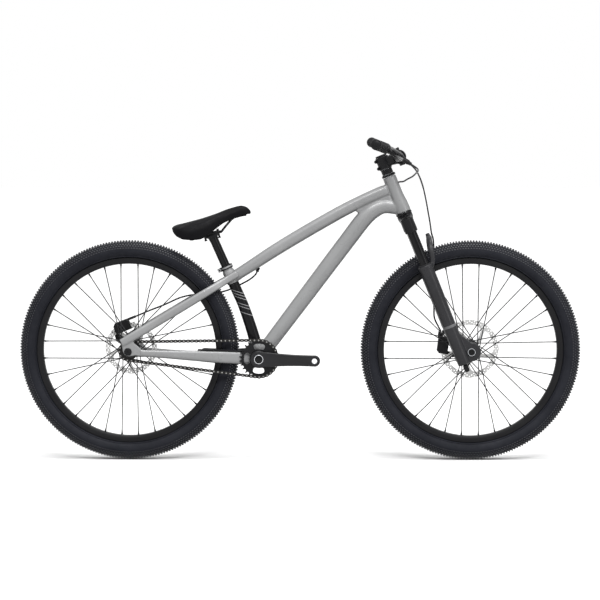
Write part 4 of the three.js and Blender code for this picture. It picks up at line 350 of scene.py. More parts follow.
# %% A recipe for finishes
def node_graph(name):
    """A fresh material with its node list and a helper that joins two sockets."""
    material = bpy.data.materials.new(name)
    material.use_nodes = True
    material.node_tree.nodes.clear()
    return material, material.node_tree.nodes, material.node_tree.links.new


def noise(nodes, link, place, scale, detail=3.0, stretch=None):
    """Noise over a place socket, drawn out along an axis when a stretch is given."""
    made = nodes.new("ShaderNodeTexNoise")
    made.inputs["Scale"].default_value = scale
    made.inputs["Detail"].default_value = detail
    if stretch is None:
        link(place, made.inputs["Vector"])
        return made.outputs["Fac"]
    mapping = nodes.new("ShaderNodeMapping")
    mapping.inputs["Scale"].default_value = stretch
    link(place, mapping.inputs["Vector"])
    link(mapping.outputs["Vector"], made.inputs["Vector"])
    return made.outputs["Fac"]


def ranged(nodes, link, value, low, high, value_low=0.3, value_high=0.7):
    """A value between two bounds, which for noise are about 0.3 and 0.7, spread over a wanted range."""
    made = nodes.new("ShaderNodeMapRange")
    numbers = (value_low, value_high, low, high)
    for socket, number in zip(("From Min", "From Max", "To Min", "To Max"), numbers):
        made.inputs[socket].default_value = number
    link(value, made.inputs["Value"])
    return made.outputs["Result"]


def mixed(nodes, link, share, first, second):
    """A colour between two others; each may be a tuple or a socket. The mix node takes colours at its
    inputs 6 and 7 and gives one at its output 2."""
    made = nodes.new("ShaderNodeMix")
    made.data_type = "RGBA"
    link(share, made.inputs["Factor"])
    for socket, colour in ((made.inputs[6], first), (made.inputs[7], second)):
        if isinstance(colour, tuple):
            socket.default_value = (*colour, 1.0)
        else:
            link(colour, socket)
    return made.outputs[2]


# Power of the painted edge shade's fall-off towards a tube's sides.
edge_shade_power = 1.5


def finish(name, dark, pale, metallic, rough, coat=0.0, drift=9.0, grain=900.0, bump=0.05, stretch=None,
           sheen=0.0, coat_rough=0.1, specular=0.5, flop_and_edge_shade=0.0):
    """The shared recipe: colour between dark and pale by a slow noise, roughness between its two bounds by
    another, and a bump from a fine one. The colour also darkens where the surface is seen at a grazing angle:
    partly the flop of flake paint, and partly painted shade that makes a tube's sides darker than its middle.
    The facing number, raised to the power of 1.5, fades the colour towards a share of itself."""
    material, nodes, link = node_graph(name)
    place = nodes.new("ShaderNodeTexCoord").outputs["Object"]
    shader = nodes.new("ShaderNodeBsdfPrincipled")
    shader.name = "finish"
    slow = noise(nodes, link, place, drift, 4.0)
    mottle = noise(nodes, link, place, drift * 5.3, 3.0)
    fine = noise(nodes, link, place, grain, 2.0, stretch)
    colour = mixed(nodes, link, ranged(nodes, link, slow, 0.0, 1.0), dark, pale)
    # Painted shade: towards the edges seen at a grazing angle the colour fades darker, partly flake paint's
    # flop and partly painted shade.
    if flop_and_edge_shade:
        facing, edge_shade_share = nodes.new("ShaderNodeLayerWeight"), nodes.new("ShaderNodeMath")
        facing.inputs["Blend"].default_value = 0.5
        edge_shade_share.operation = "POWER"
        edge_shade_share.inputs[1].default_value = edge_shade_power
        link(facing.outputs["Facing"], edge_shade_share.inputs[0])
        edge_shade_colour = tuple(v * (1 - flop_and_edge_shade) for v in dark)
        colour = mixed(nodes, link, edge_shade_share.outputs[0], colour, edge_shade_colour)
    link(colour, shader.inputs["Base Color"])
    link(ranged(nodes, link, mottle, *rough), shader.inputs["Roughness"])
    relief = nodes.new("ShaderNodeBump")
    relief.inputs["Strength"].default_value = bump
    relief.inputs["Distance"].default_value = 0.0004
    link(fine, relief.inputs["Height"])
    link(relief.outputs["Normal"], shader.inputs["Normal"])
    shader.inputs["Metallic"].default_value = metallic
    shader.inputs["Specular IOR Level"].default_value = specular
    shader.inputs["Coat Weight"].default_value = coat
    shader.inputs["Coat Roughness"].default_value = coat_rough
    shader.inputs["Sheen Weight"].default_value = sheen
    output = nodes.new("ShaderNodeOutputMaterial")
    link(shader.outputs["BSDF"], output.inputs["Surface"])
    return material


print("recipe ready")

# %% The bike's finishes
# The silver frame paint carries the painted edge shade: its tubes' sides seen at a grazing angle are painted
# darker.
silver = finish("frame_silver", (0.31, 0.313, 0.316), (0.35, 0.353, 0.356), 0.1, (0.26, 0.34), coat=0.08,
                grain=1400, bump=0.015, specular=0.25, flop_and_edge_shade=0.85)
tube_black = finish("tube_black", (0.003, 0.003, 0.0036), (0.006, 0.006, 0.007), 0.0, (0.26, 0.38),
                    coat=0.05, specular=0.1)
gloss_black = finish("gloss_black", (0.002, 0.002, 0.0024), (0.004, 0.004, 0.005), 0.0, (0.14, 0.22),
                     coat=0.06, coat_rough=0.05, grain=1800, bump=0.02, stretch=(1.0, 1.0, 0.08),
                     specular=0.12)
black_alloy = finish("black_alloy", (0.005, 0.005, 0.006), (0.011, 0.011, 0.012), 0.0, (0.32, 0.44),
                     grain=1600, bump=0.08, specular=0.14)
fork_grey = finish("fork_grey", (0.016, 0.016, 0.018), (0.026, 0.026, 0.029), 0.0, (0.34, 0.46), coat=0.08,
                   grain=1100, bump=0.05, specular=0.2)
crank_grey = finish("crank_grey", (0.009, 0.009, 0.010), (0.016, 0.016, 0.018), 0.0, (0.30, 0.42),
                    grain=2000, bump=0.05, specular=0.22)
bright_steel = finish("bright_steel", (0.42, 0.43, 0.45), (0.6, 0.61, 0.63), 1.0, (0.2, 0.34), grain=2600,
                      bump=0.12, stretch=(1.0, 0.1, 1.0))
spoke_steel = finish("spoke_steel", (0.012, 0.012, 0.013), (0.03, 0.03, 0.033), 0.1, (0.26, 0.36),
                     grain=1500, bump=0.03, specular=0.2)
chain_steel = finish("chain_steel", (0.006, 0.006, 0.006), (0.022, 0.021, 0.020), 0.1, (0.32, 0.5), drift=60,
                     grain=900, bump=0.15, specular=0.2)
tyre_rubber = finish("tyre_rubber", (0.009, 0.0098, 0.014), (0.016, 0.017, 0.0225), 0.0, (0.6, 0.75),
                     drift=14, grain=650, bump=0.25, specular=0.16)
tread_rubber = finish("tread_rubber", (0.02, 0.021, 0.025), (0.038, 0.039, 0.045), 0.0, (0.4, 0.55),
                      drift=40, grain=900, bump=0.2, specular=0.45)
rotor_steel = finish("rotor_steel", (0.50, 0.50, 0.50), (0.62, 0.62, 0.61), 0.5, (0.36, 0.5), drift=30,
                     grain=2600, bump=0.06, stretch=(1.0, 0.1, 1.0))
grip_rubber = finish("grip_rubber", (0.006, 0.006, 0.007), (0.012, 0.012, 0.0135), 0.0, (0.6, 0.8),
                     grain=800, bump=0.4, sheen=0.03, specular=0.15)
hose_plastic = finish("hose_plastic", (0.005, 0.005, 0.006), (0.010, 0.010, 0.012), 0.0, (0.3, 0.42),
                      grain=1500, bump=0.1, specular=0.2)
shell_plastic = finish("shell_plastic", (0.006, 0.006, 0.007), (0.012, 0.012, 0.013), 0.0, (0.5, 0.62),
                       grain=900, bump=0.25, specular=0.15)
print("finishes", len(bpy.data.materials))

# %% [markdown]
# ## The bike's own skeleton
# Two axles, the bottom bracket and the steering axis place everything. The steered pieces are easier to
# draw upright, so a helper stands them on the lower end of the head tube and leans them by 22 degrees.
# Seen from there, the front axle lies a little ahead of the steering axis and far below.

# %% Axes and frames of reference
level = 337.5
half_wheelbase = 523.25
chainstay_run, bracket_drop = 398.5, 23.0
axle_offset, axle_drop = 33, 469.6
leg_across = 65
rear_axle = np.array([-half_wheelbase, 0.0, level])
front_axle = np.array([half_wheelbase, 0.0, level])
bottom_bracket = rear_axle + [chainstay_run, 0, -bracket_drop]
lean = np.radians(22)
steering_up = np.array([-np.sin(lean), 0, np.cos(lean)])
steering_forward = np.array([np.cos(lean), 0, np.sin(lean)])
head_base = front_axle - axle_offset * steering_forward + axle_drop * steering_up
seat_up = np.array([-np.cos(np.radians(66)), 0, np.sin(np.radians(66))])
seat_forward = np.array([seat_up[2], 0, -seat_up[0]])
seat_top = bottom_bracket + [-103.2, 0, 282.4]


def steered(surface):
    """Stands a piece drawn upright on the head tube's lower end, leaning with the steering axis."""
    return moved(surface, head_base, steering_forward, steering_up)


def on_post(surface):
    """Stands a piece drawn upright on the seat tube's top, leaning with the seat post."""
    return moved(surface, seat_top, seat_forward, seat_up)


def steered_point(x, y, z):
    """A point of the steered frame in the bike's frame."""
    return head_base + x * steering_forward + np.array([0, y, 0]) + z * steering_up


print("head tube foot", head_base.round(1), "bottom bracket", bottom_bracket)

# %% [markdown]
# ## The frame tubes
# The top tube is an arched, rounded box that grows slightly towards the middle. The down tube leaves the
# head tube nearly level, bends and then runs straight to the bottom bracket, and a thin web fills the
# corner between the two. All of them are lofts through measured stations, with a section that has a faint
# ridge along each side of the down tube. The four solids become one welded front triangle.

# %% Head tube, top tube and down tube
head_length, head_top_radius, head_bottom_radius = 118.0, 20.5, 24.5
flare = np.array([0, 0.06, 0.2, 0.33, 0.45, 0.7, 1]) * head_length
flare_share = np.array([1, 0.99, 0.9, 0.55, 0.15, 0.01, 0])
flare_radius = head_top_radius + (head_bottom_radius - head_top_radius) * flare_share
bore, rounding = 17.6, 0.6
wall = [[bore, 0.4], [head_bottom_radius - rounding, 0],
        *zip(flare_radius, flare + rounding * np.array([1, 0, 0, 0, 0, 0, -1])),
        [head_top_radius - rounding, head_length], [bore, head_length - 0.4]]
head_tube = steered(lathe(wall, 64, "z"))

top_start = seat_top - 43 * seat_up
top_end = head_base + (head_length - 35) * steering_up
tube_stop = 19.5
top_run = top_end - top_start
top_normal = unit(np.array([-top_run[2], 0, top_run[0]]))


def top_tube_point(share, arch):
    """A point of the top tube's centre line: a share of the straight run, lifted by the arch."""
    return top_start + np.outer(share, top_run) + np.outer(arch, top_normal) * 12.8


top_share = np.array([0, 0.1, 0.3, 0.56, 0.75, 0.93, 1])
top_line = top_tube_point(top_share, [0, 0.2, 0.74, 1, 0.92, 0.32, 0])
top_depth = 38 * np.array([0.88, 0.93, 1.01, 1.02, 1, 0.97, 0.95])
top_width = 40 * np.array([0.78, 0.84, 0.94, 1, 1, 0.97, 0.92])
top_line[-1] -= unit(top_run) * tube_stop
top_tube = frame_tube(top_line, top_depth, top_width, 90, 2.6, 64)

back = np.array([-0.1, -0.52, -0.77, -1, -1.45]) * head_length
rise = np.array([0.12, 0.155, 0.05, -0.15, -0.73]) * head_length
down_line = head_base + np.stack([back, 0 * back, rise], 1)
down_line = np.vstack([down_line, (down_line[-1] + bottom_bracket) / 2, bottom_bracket])
down_depth = 48 * np.array([0.86, 0.94, 1.02, 1.06, 1.05, 1, 0.92])
down_width = 46 * np.array([0.8, 0.86, 0.94, 1, 1, 1, 1])
down_line[0, 0] -= tube_stop - 0.1 * head_length
down_tube = frame_tube(down_line, down_depth, down_width, 110, (3.5, 1.3), 64)

web_foot = head_base + [-head_length - 26, 0, 0]
web_top = top_tube_point([0.8], [0.8])[0]
behind_head = np.array([-22, 0, 0])
web_outline = np.stack([web_foot, head_base + behind_head, top_end + behind_head, web_top])[:, [0, 2]]
web = slab(web_outline, -13, 13, 3)
piece("front_triangle", [head_tube, top_tube, down_tube, web], silver, "frame", "frame_paint",
      "head_tube", "top_tube", "down_tube", remesh=1.9, soften=10)

# %% [markdown]
# ## Seat tube, seat cluster and bottom bracket
# The black seat tube drops from a forged cluster that also holds the stays, and its foot is silver again.
# Its stripes aren't geometry: the material measures each point along a slanted direction, and turns pale
# where that number is close to one of the stripes' places. The bottom bracket is a turned shell across the
# bike with a cup at each end.

# %% Seat tube and its stripes
seat_run = bottom_bracket - seat_top
seat_normal = unit(np.array([seat_run[2], 0, -seat_run[0]]))
seat_line = [*(seat_top - drop * seat_up for drop in (50, 90, 128)),
             seat_top + seat_run * 0.72 - seat_normal * 7.1, bottom_bracket]
seat_width = 33.2
seat_depth = [seat_width, seat_width, seat_width, 35.2, 37.8]
seat_curve = smooth_path(np.column_stack([seat_line, seat_depth, [seat_width] * 5]), 61)


def seat_piece(first, last, proud):
    """A stretch of the seat tube's curve, a little proud of it where another colour is laid over."""
    part = seat_curve[first:last]
    return frame_tube(part[:, :3], part[:, 3] + proud, part[:, 4] + proud, 40, 2.0, 64)


def striped(base, name, origin, way, places, half_width, colour):
    """A copy of a finish with thin stripes square to a direction: the place along it is a dot product, and
    each stripe is where that number lies within half a width of a wanted one."""
    made = base.copy()
    made.name = name
    nodes, link = made.node_tree.nodes, made.node_tree.links.new
    shader = nodes["finish"]
    place, dot = nodes.new("ShaderNodeTexCoord"), nodes.new("ShaderNodeVectorMath")
    dot.operation = "DOT_PRODUCT"
    dot.inputs[1].default_value = way
    link(place.outputs["Object"], dot.inputs[0])
    total = None
    for at in places:
        near = nodes.new("ShaderNodeMath")
        near.operation = "COMPARE"
        near.inputs[1].default_value = float(np.dot(origin, way)) * 0.001 + at * 0.001
        near.inputs[2].default_value = half_width * 0.001
        link(dot.outputs["Value"], near.inputs[0])
        if total is not None:
            both = nodes.new("ShaderNodeMath")
            both.operation = "MAXIMUM"
            link(total, both.inputs[0])
            link(near.outputs[0], both.inputs[1])
            total = both.outputs[0]
        else:
            total = near.outputs[0]
    under = shader.inputs["Base Color"].links[0].from_socket
    link(mixed(nodes, link, total, under, colour), shader.inputs["Base Color"])
    return made


slanted = unit(seat_up + 0.9 * seat_forward)
stripes = (-64.0, -72.0, -80.0, -96.0, -104.0, -120.0)
striped_black = striped(tube_black, "striped_black", seat_top, slanted, stripes, 0.75, (0.42, 0.42, 0.43))
piece("seat_tube_fine", [seat_piece(0, 52, 0.0)], striped_black, "frame", "black_paint", "seat_tube")
piece("seat_tube_foot", [seat_piece(50, 61, 0.7)], silver, "frame", "frame_paint", "seat_tube")

# %% Seat cluster, collar and bottom bracket shell
sleeve = [[14.2, 0], [16.1, 0], [16.6, -0.6], [16.6, -16.4], [18.0, -17.6], [18.6, -19.5], [18.6, -56.5],
          [17.9, -58], [14.2, -58]]
forged = top_start + np.outer([-0.3, 0.2, 1.0], unit(top_run)) * 26.0
cluster = frame_tube(forged, [30, 34, 33.6], [27, 31.2, 31.3], 20, 2.5, 64)
piece("seat_cluster_fine", [on_post(lathe(sleeve, 64, "z")), cluster], silver, "frame", "frame_paint",
      "seat_lug")

band = [[16.9, -11.6], [19.4, -11.6], [20.0, -11.0], [20.0, -8.8], [19.3, -8.4], [19.3, -3.4], [20.0, -3.0],
        [20.0, -0.6], [19.4, 0], [16.9, 0]]
middle_band = [[18.6, -8.2], [19.9, -8.2], [20.1, -7.9], [20.1, -3.9], [19.9, -3.6], [18.6, -3.6]]
bolt_ring = [[2.6, -11.3], [4.9, -11.3], [5.0, -11.0], [5.0, -9.6], [2.6, -9.6]]
lug = slab(np.array([[-29, -12], [-18, -12.5], [-18, -0.5], [-29, -1]]), -8, 8, 1.5)
pin = lathe([[0, -11], [3.6, -11], [4.4, -10.2], [4.4, -7], [2.4, -6.8], [2.4, 6.8], [4.4, 7], [4.4, 10.2],
             [3.6, 11], [0, 11]], 24)
piece("seat_collar_fine", [on_post(lathe(band, 64, "z")), on_post(moved(lug, (1.0, 0, 0))),
                           on_post(moved(pin, (-22.8, 0, -6.5)))], black_alloy, "frame", "black_alloy",
      "seat_collar")
piece("seat_collar_bright", [on_post(lathe(middle_band, 64, "z")),
                             on_post(moved(lathe(bolt_ring, 32), (-22.8, 0, -6.5)))], silver, "frame",
      "black_alloy", "seat_collar")

shell = mirrored([[14.5, 43.5], [20.2, 43.5], [21, 42.7], [21, 34.6], [20, 34.3], [20, 34], [21.4, 34],
                  [22, 33.4]])
piece("bottom_bracket_fine", [moved(lathe(shell, 72), bottom_bracket)], silver, "frame", "frame_paint",
      "bottom_bracket_shell")

# %% [markdown]
# ## The stays
# The chainstays are deep flat tubes that bow outwards round the tyre and end in dropout plates. The
# seatstays run straight in side view and spread in plan. Each side is the same line with its sign turned,
# only that the left chainstay hangs a little lower on its way. Stay, plate and stay melt into one piece
# for each side.

# %% Chainstays, seatstays and dropouts
stay_spread, dropout_size = 71, 38.6
plate_low, plate_high = 67.8, 74.8
ahead = np.array([0.1, 0.32, 0.53, 0.7, 0.8, 0.9, 0.985]) * chainstay_run
sink = np.array([-0.01, -0.024, -0.037, -0.047, -0.052, -0.056, -0.0575]) * chainstay_run
spread = np.array([1, 0.82, 0.665, 0.6, 0.585, 0.47, 0.385]) * stay_spread
stay_depth = 37 * np.array([0.54, 0.7, 0.88, 0.99, 1, 1, 1])
stay_width = 17 * np.array([0.76, 1, 1, 0.92, 0.85, 0.82, 0.8])
drop_x = dropout_size * np.array([-0.6, -0.46, -0.39, -0.21, 0.08, 0.37, 0.62, 1.1, 1.1, 0.9, 0.62, 0.46,
                                  0.43])
drop_z = dropout_size * np.array([1, 0.33, -0.05, -0.3, -0.38, -0.34, -0.3, -0.36, 0.1, 0.35, 0.58, 0.75,
                                  1])
bracket_x = dropout_size * np.array([-0.26, -0.62, -0.92, -1.5, -1.24])
bracket_z = dropout_size * np.array([-0.13, 0.99, 1.7, 1.45, 0.5])
left_drop = 10 * np.array([0.5, 0.9, 1, 1, 1, 0.6, 0])
seat_along = np.array([0, 0.1, 0.3, 0.6, 0.82, 0.95, 1.065])
seat_spread = np.array([1, 1, 0.9, 0.78, 0.64, 0.385, 0.32]) * stay_spread
seat_share = np.array([0.95, 1, 1, 1, 0.92, 0.85, 0.85])
foot = rear_axle + [-19.3, 0, 26.0]
meet = seat_top - 39.4 * seat_up


def stay_plate(x, z, side, bevel):
    """A dropout plate cut from its outline, on the outer side of the wheel's clamped width."""
    outline = smooth_path(np.column_stack([x, z, 0 * x])[np.r_[0:len(x), 0]], 96)[:-1, :2] + rear_axle[[0, 2]]
    hole = circle(5.4, 24) + rear_axle[[0, 2]]
    return slab(outline, *sorted((side * plate_low, side * plate_high)), bevel, [hole])


for side, name in ((-1, "right"), (1, "left")):
    lower = left_drop if side > 0 else 0
    line = np.column_stack([rear_axle[0] + ahead, side * spread, rear_axle[2] + sink - lower])
    stay = frame_tube(line, stay_depth, stay_width, 90, 2.8, 56)
    parts = [stay, stay_plate(drop_x, drop_z, side, 1.6)]
    if side > 0:
        tab = np.column_stack([bracket_x, bracket_z]) + rear_axle[[0, 2]]
        piece("caliper_bracket", [slab(tab, plate_low + 0.1, plate_high - 0.1, 1.2)], black_alloy, "frame",
              "frame_paint", "chainstay_left")
    upper = foot + np.outer(seat_along, meet - foot) + np.outer(side * seat_spread, [0, 1, 0])
    parts.append(frame_tube(upper, 26.5 * seat_share, 16 * seat_share, 90, 2.6, 56))
    piece(f"rear_triangle_{name}", parts, silver, "frame", "frame_paint", f"chainstay_{name}",
          f"seatstay_{name}", remesh=1.7, soften=4)

# %% [markdown]
# ## Tyres with moulded blocks
# A dirt jump tyre is a round casing with a low, close tread. The casing is a lathe; the tread is a few
# rows of small blocks, each a box whose top is narrower than its foot, set square to the casing. The
# middle rows stand in line, which gives the fine saw edge that the silhouette shows. On the shoulder the
# blocks grow lower outwards, and every other row is shifted by half a step. The blocks are a piece of their
# own, because rubber that meets the ground is paler than the casing.

# %% The casing's outline and a row of blocks
foot_depth, top_taper = 1.2, 0.78


def tread_row(radius, across, tilt, count, size, shift):
    """Blocks round the tyre. Each has its foot a little below the casing and its top, about four fifths as
    large, above it; tilt turns the row outwards over the shoulder. Size is length round the tyre, width and
    height, and shift turns the row by a share of the step between two blocks."""
    out, over = np.array([np.cos(tilt), np.sin(tilt)]), np.array([-np.sin(tilt), np.cos(tilt)])
    length, width, height = size
    angle = (np.arange(count) + shift) * 2 * np.pi / count
    rings = []
    for lift, share in ((-foot_depth, 1.0), (height, top_taper)):
        for u, v in ((-1, -1), (1, -1), (1, 1), (-1, 1)):
            r, y = np.array([radius, across]) + out * lift + over * v * width / 2 * share
            turn = angle + u * length / 2 * share / radius
            rings.append(np.stack([r * np.cos(turn), np.full(count, y), r * np.sin(turn)], 1))
    corners = np.stack(rings, 1).reshape(-1, 3)
    cell = np.array([[0, 3, 2, 1], [4, 5, 6, 7], [0, 1, 5, 4], [1, 2, 6, 5], [2, 3, 7, 6], [3, 0, 4, 7]])
    return corners, (np.arange(count)[:, None, None] * 8 + cell).reshape(-1, 4).tolist()


outside = smooth_path([[333.2, 0, 0], [332.5, 7, 0], [330.0, 15, 0], [324.6, 22.6, 0], [316.4, 27.4, 0],
                       [307, 29.2, 0], [296.5, 26.6, 0], [289, 21, 0], [285.6, 14.6, 0]], 40)[:, :2]
casing = mirrored([*outside, [284.3, 13.2], [277.4, 13.1], [277.3, 8.6], [303.3, 20.6], [318, 21.6],
                   [328.5, 14], [332, 0]])
print("casing", len(casing), "points")

# %% Tread rows on both tyres
block_count, block_length = 236, 4.9
row_places = (0.0, 6.2, 12.4, 18.0, 22.6, 25.8, 28.2)
row_widths = (4.6, 4.6, 4.6, 4.4, 4.0, 3.6, 3.2)
row_tilts = (0.0, 0.06, 0.28, 0.6, 0.85, 1.1, 1.3)
row_shifts = (0.0, 0.0, 0.0, 0.5, 0.0, 0.5, 0.0)
row_heights = (4.2, 4.2, 4.0, 3.4, 2.8, 2.2, 1.6)
tread = []
for place, width, tilt, shift, height in zip(row_places, row_widths, row_tilts, row_shifts, row_heights):
    radius = np.interp(place, outside[:22, 1], outside[:22, 0])
    for sign in (-1, 1) if place else (1,):
        size = block_length, width, height
        tread.append(tread_row(radius, sign * place, sign * tilt, block_count, size, shift))
bead_line = np.array([[288.2, 19.6], [289.6, 21.6], [288.0, 22.4], [286.6, 20.6]])
for axle, end in ((front_axle, "front"), (rear_axle, "rear")):
    tyre = [lathe(casing, 180), *(lathe(bead_line * [1, side], 180) for side in (-1, 1))]
    piece(f"{end}_tyre_fine", [moved(part, axle) for part in tyre], tyre_rubber, f"{end}_wheel",
          "tyre_rubber", f"{end}_tyre", sharp=42)
    piece(f"{end}_tread", [moved(row, axle) for row in tread], tread_rubber, f"{end}_wheel", "tyre_rubber",
          f"{end}_tyre", sharp=30)

# %% [markdown]
# ## Rims, hubs and laced spokes
# Each flange carries sixteen spokes. They leave it along a tangent, in turn forwards and backwards, and
# each crosses three others before it reaches the rim, where a brass nipple under black paint pulls it
# tight. A small head shows at the flange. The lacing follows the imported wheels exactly.

# %% Rims
rim_half = [[277, 13.4], [283.4, 13.4], [284, 14.0], [284, 15.4], [283.3, 16], [279, 15.6], [274, 14.6],
            [269, 13.2], [266, 11.6], [265, 9.5], [264.8, 0]]
rim_profile = mirrored(rim_half)
for axle, end, at in ((front_axle, "front", 122.6), (rear_axle, "rear", 36.5)):
    inward = np.array([np.cos(np.radians(at)), 0, np.sin(np.radians(at))])
    valve = bar(np.outer([266, 252, 251, 232, 230], inward), [2.9, 2.9, 2.4, 2.4, 1.6], 20, (0, 1, 0))
    piece(f"{end}_rim_fine", [moved(lathe(rim_profile, 180), axle), moved(valve, axle)], black_alloy,
          f"{end}_wheel", "black_paint", f"{end}_rim")

# %% Hubs with their spokes
hook_radius, nipple_radius = 25, 263.5


def lacing(flange_offset, side):
    """The two ends of each of a flange's spokes: on the flange at every 22.5 degrees, from a quarter step on,
    and on the rim three steps further, turned forwards for the even ones and backwards for the odd ones."""
    i = np.arange(16)
    lead = np.where(i % 2 == 0, 1, -1)
    step = 2 * np.pi / 16
    near = (i + 0.25) * step + (step / 2 if side > 0 else 0)
    far = near + lead * 3 * step
    start = np.stack([hook_radius * np.cos(near), flange_offset + lead * 1.9, hook_radius * np.sin(near)], 1)
    end = np.stack([nipple_radius * np.cos(far), side * 2.8 + lead * 1.3, nipple_radius * np.sin(far)], 1)
    return start, end, lead


def wheel_centre(profile, right, left):
    """The turned hub, its spokes, and the nipples and heads that end them."""
    shell, steel, nipples = [lathe(profile, 72)], [], []
    for offset, side in ((-right, -1), (left, 1)):
        for a, b, lead in zip(*lacing(offset, side)):
            way = unit(b - a)
            steel.append(bar([a, a + way * 6, b - way * 8, b], [1.6, 1.5, 1.5, 1.5], 8, (0, 1, 0),
                             caps=False))
            steel.append(bar([a + [0, lead * 1.4, 0], a - [0, lead * 4.6, 0]], [2.1, 1.1], 8, (1, 0, 0)))
            sleeve = [b + way * 1.0, b - way * 4, b - way * 4.5, b - way * 12]
            nipples.append(bar(sleeve, [2.7, 2.7, 2.0, 1.7], 10, (0, 1, 0)))
    return shell, steel, nipples


def hub_profile(bore, end, right, left, rotor, driver):
    """The hub's outline: caps at both ends, two rounded flanges, a waist and a shoulder for the rotor."""
    flange = lambda at: (mirrored([[23, 3.2], [28.4, 1.9], [29, 1.2]])[::-1] + [0, at]).tolist()
    tail = [[11, -right - 12], [15, -right - 8]]
    if driver:
        tail = [[11, -52], [16, -52], [16, -right - 8], [18, -right - 5]]
    face = rotor - 1.2
    return [[bore, 0.2 - end], [10.4, 0.2 - end], [11, 0.8 - end], *tail, *flange(-right), [16, -right + 7],
            [14, -right + 12], [13.6, (left - right) / 2], [14, left - 12], [16, left - 7], *flange(left),
            [22, left + 4.4], [22, face], [17, face], [17, face + 5], [15.6, face + 5.6], [12, face + 6],
            [11, end - 0.8], [10.4, end - 0.2], [bore, end - 0.2]]


front_rotor_place, rear_rotor_place = 39.4, 53
hub_sizes = ((front_axle, "front", 8, 50, 33, 24, front_rotor_place),
             (rear_axle, "rear", 5.5, 67.5, 29, 32, rear_rotor_place))
for axle, end, bore, half_width, right, left, beside in hub_sizes:
    shape = hub_profile(bore, half_width, right, left, beside, end == "rear")
    shell, steel, nipples = wheel_centre(shape, right, left)
    body = f"{end}_wheel"
    piece(f"{end}_hub_fine", [moved(s, axle) for s in shell], black_alloy, body, "black_alloy", f"{end}_hub")
    piece(f"{end}_spokes", [moved(s, axle) for s in steel], spoke_steel, body, "spoke_steel", f"{end}_hub",
          sharp=60)
    piece(f"{end}_nipples", [moved(s, axle) for s in nipples], black_alloy, body, "black_alloy",
          f"{end}_hub", sharp=50)

# %% [markdown]
# ## Brake rotors
# A rotor is cut from steel sheet. Its track is pierced by rows of round holes, its rim is a shallow wave,
# and swept arms join it to the hub. One outline with many holes, triangulated once, gives both faces.

# %% Rotors
def polar_window(inner, outer, inner_half, outer_half, middle, sweep, count=36, squareness=5):
    """A window between two radii whose middle line sweeps on with the radius, with rounded corners."""
    u, v = super_section(count, squareness).T
    share = (v + 1) / 2
    r = inner + (outer - inner) * share
    angle = middle + sweep * share + u * (inner_half + (outer_half - inner_half) * share)
    return np.stack([r * np.cos(angle), r * np.sin(angle)], 1)


def rotor(radius, offset):
    """Outline with a wave, five windows between swept arms, three rings of holes and the bore."""
    turn = np.arange(240) * 2 * np.pi / 240
    r = radius - 0.7 + 0.6 * np.cos(turn * 12)
    outline = np.stack([r * np.cos(turn), r * np.sin(turn)], 1)
    inner, outer, step = 25.6, radius - 15, 2 * np.pi / 5
    holes = [polar_window(inner + 2, outer, step / 2 - 4 / inner, step / 2 - 4.5 / outer, i * step,
                          np.radians(22)) for i in range(5)]
    holes.append(circle(17.3, 48))
    for ring, count, size, shift in ((4.2, 36, 2.1, 0.0), (8.4, 36, 2.1, 0.5), (12.2, 18, 1.9, 0.0)):
        centre = circle(radius - ring, count, shift * 2 * np.pi / count)
        holes += [circle(size, 14) + c for c in centre]
    return slab(outline, offset - 0.9, offset + 0.9, 0.0, holes)


for axle, end, radius, beside in ((front_axle, "front", 90, front_rotor_place),
                                  (rear_axle, "rear", 80, rear_rotor_place)):
    piece(f"{end}_rotor_fine", [moved(rotor(radius, beside), axle)], rotor_steel, f"{end}_wheel",
          "bright_steel", f"{end}_rotor", sharp=30)

# %% [markdown]
# ## The chain and the teeth it lies on
# The chain's run is two arcs and two tangents. Its whole length is a whole number of links, so the pitch
# is fitted until the length closes: the radii follow from pitch and teeth, the length follows from the
# radii, and a few rounds settle both. Plates then lie between neighbouring pins, outer and inner in turn.

# %% The run of the chain
ring_teeth, cog_teeth = 28, 14
chain_line = -47
span = bottom_bracket - rear_axle
centre_distance = np.hypot(span[0], span[2])
centre_angle = np.arctan2(span[2], span[0])


def chain_run(pitch):
    """Radii, slant, tangent length, wraps and whole length for a pitch."""
    ring, cog = ring_teeth * pitch / (2 * np.pi), cog_teeth * pitch / (2 * np.pi)
    slant = np.arcsin((ring - cog) / centre_distance)
    straight = centre_distance * np.cos(slant)
    wraps = np.pi + 2 * slant, np.pi - 2 * slant
    return ring, cog, slant, straight, wraps, 2 * straight + ring * wraps[0] + cog * wraps[1]


pitch = 12.7
links = 2 * round(chain_run(pitch)[-1] / (2 * pitch))
for _ in range(60):
    pitch = chain_run(pitch)[-1] / links
ring_radius, cog_radius, slant, straight, wraps, run_length = chain_run(pitch)
top_angle = centre_angle + np.pi / 2 + slant
low_angle = centre_angle - np.pi / 2 - slant


def chain_place(distance):
    """Places on the run, starting where the chain meets the chainring on top and going forwards round it."""
    s = np.mod(distance, run_length)
    on = lambda centre, radius, angle: centre[[0, 2]] + radius * np.stack([np.cos(angle), np.sin(angle)], -1)
    ends = np.cumsum([ring_radius * wraps[0], straight, cog_radius * wraps[1]])
    share = np.clip((s - ends[0]) / straight, 0, 1)[:, None]
    back = np.clip((s - ends[2]) / straight, 0, 1)[:, None]
    ring_low, ring_top = (on(bottom_bracket, ring_radius, angle) for angle in (low_angle, top_angle))
    cog_low, cog_top = (on(rear_axle, cog_radius, angle) for angle in (low_angle, top_angle))
    lower = ring_low * (1 - share) + cog_low * share
    upper = cog_top * (1 - back) + ring_top * back
    choices = [on(bottom_bracket, ring_radius, top_angle - s / ring_radius), lower,
               on(rear_axle, cog_radius, low_angle - (s - ends[1]) / cog_radius), upper]
    which = np.searchsorted(ends, s, side="right")
    return np.stack(choices)[which, np.arange(len(s))]


pins = chain_place(np.arange(links) * pitch)
print("links", links, "pitch", round(pitch, 4))

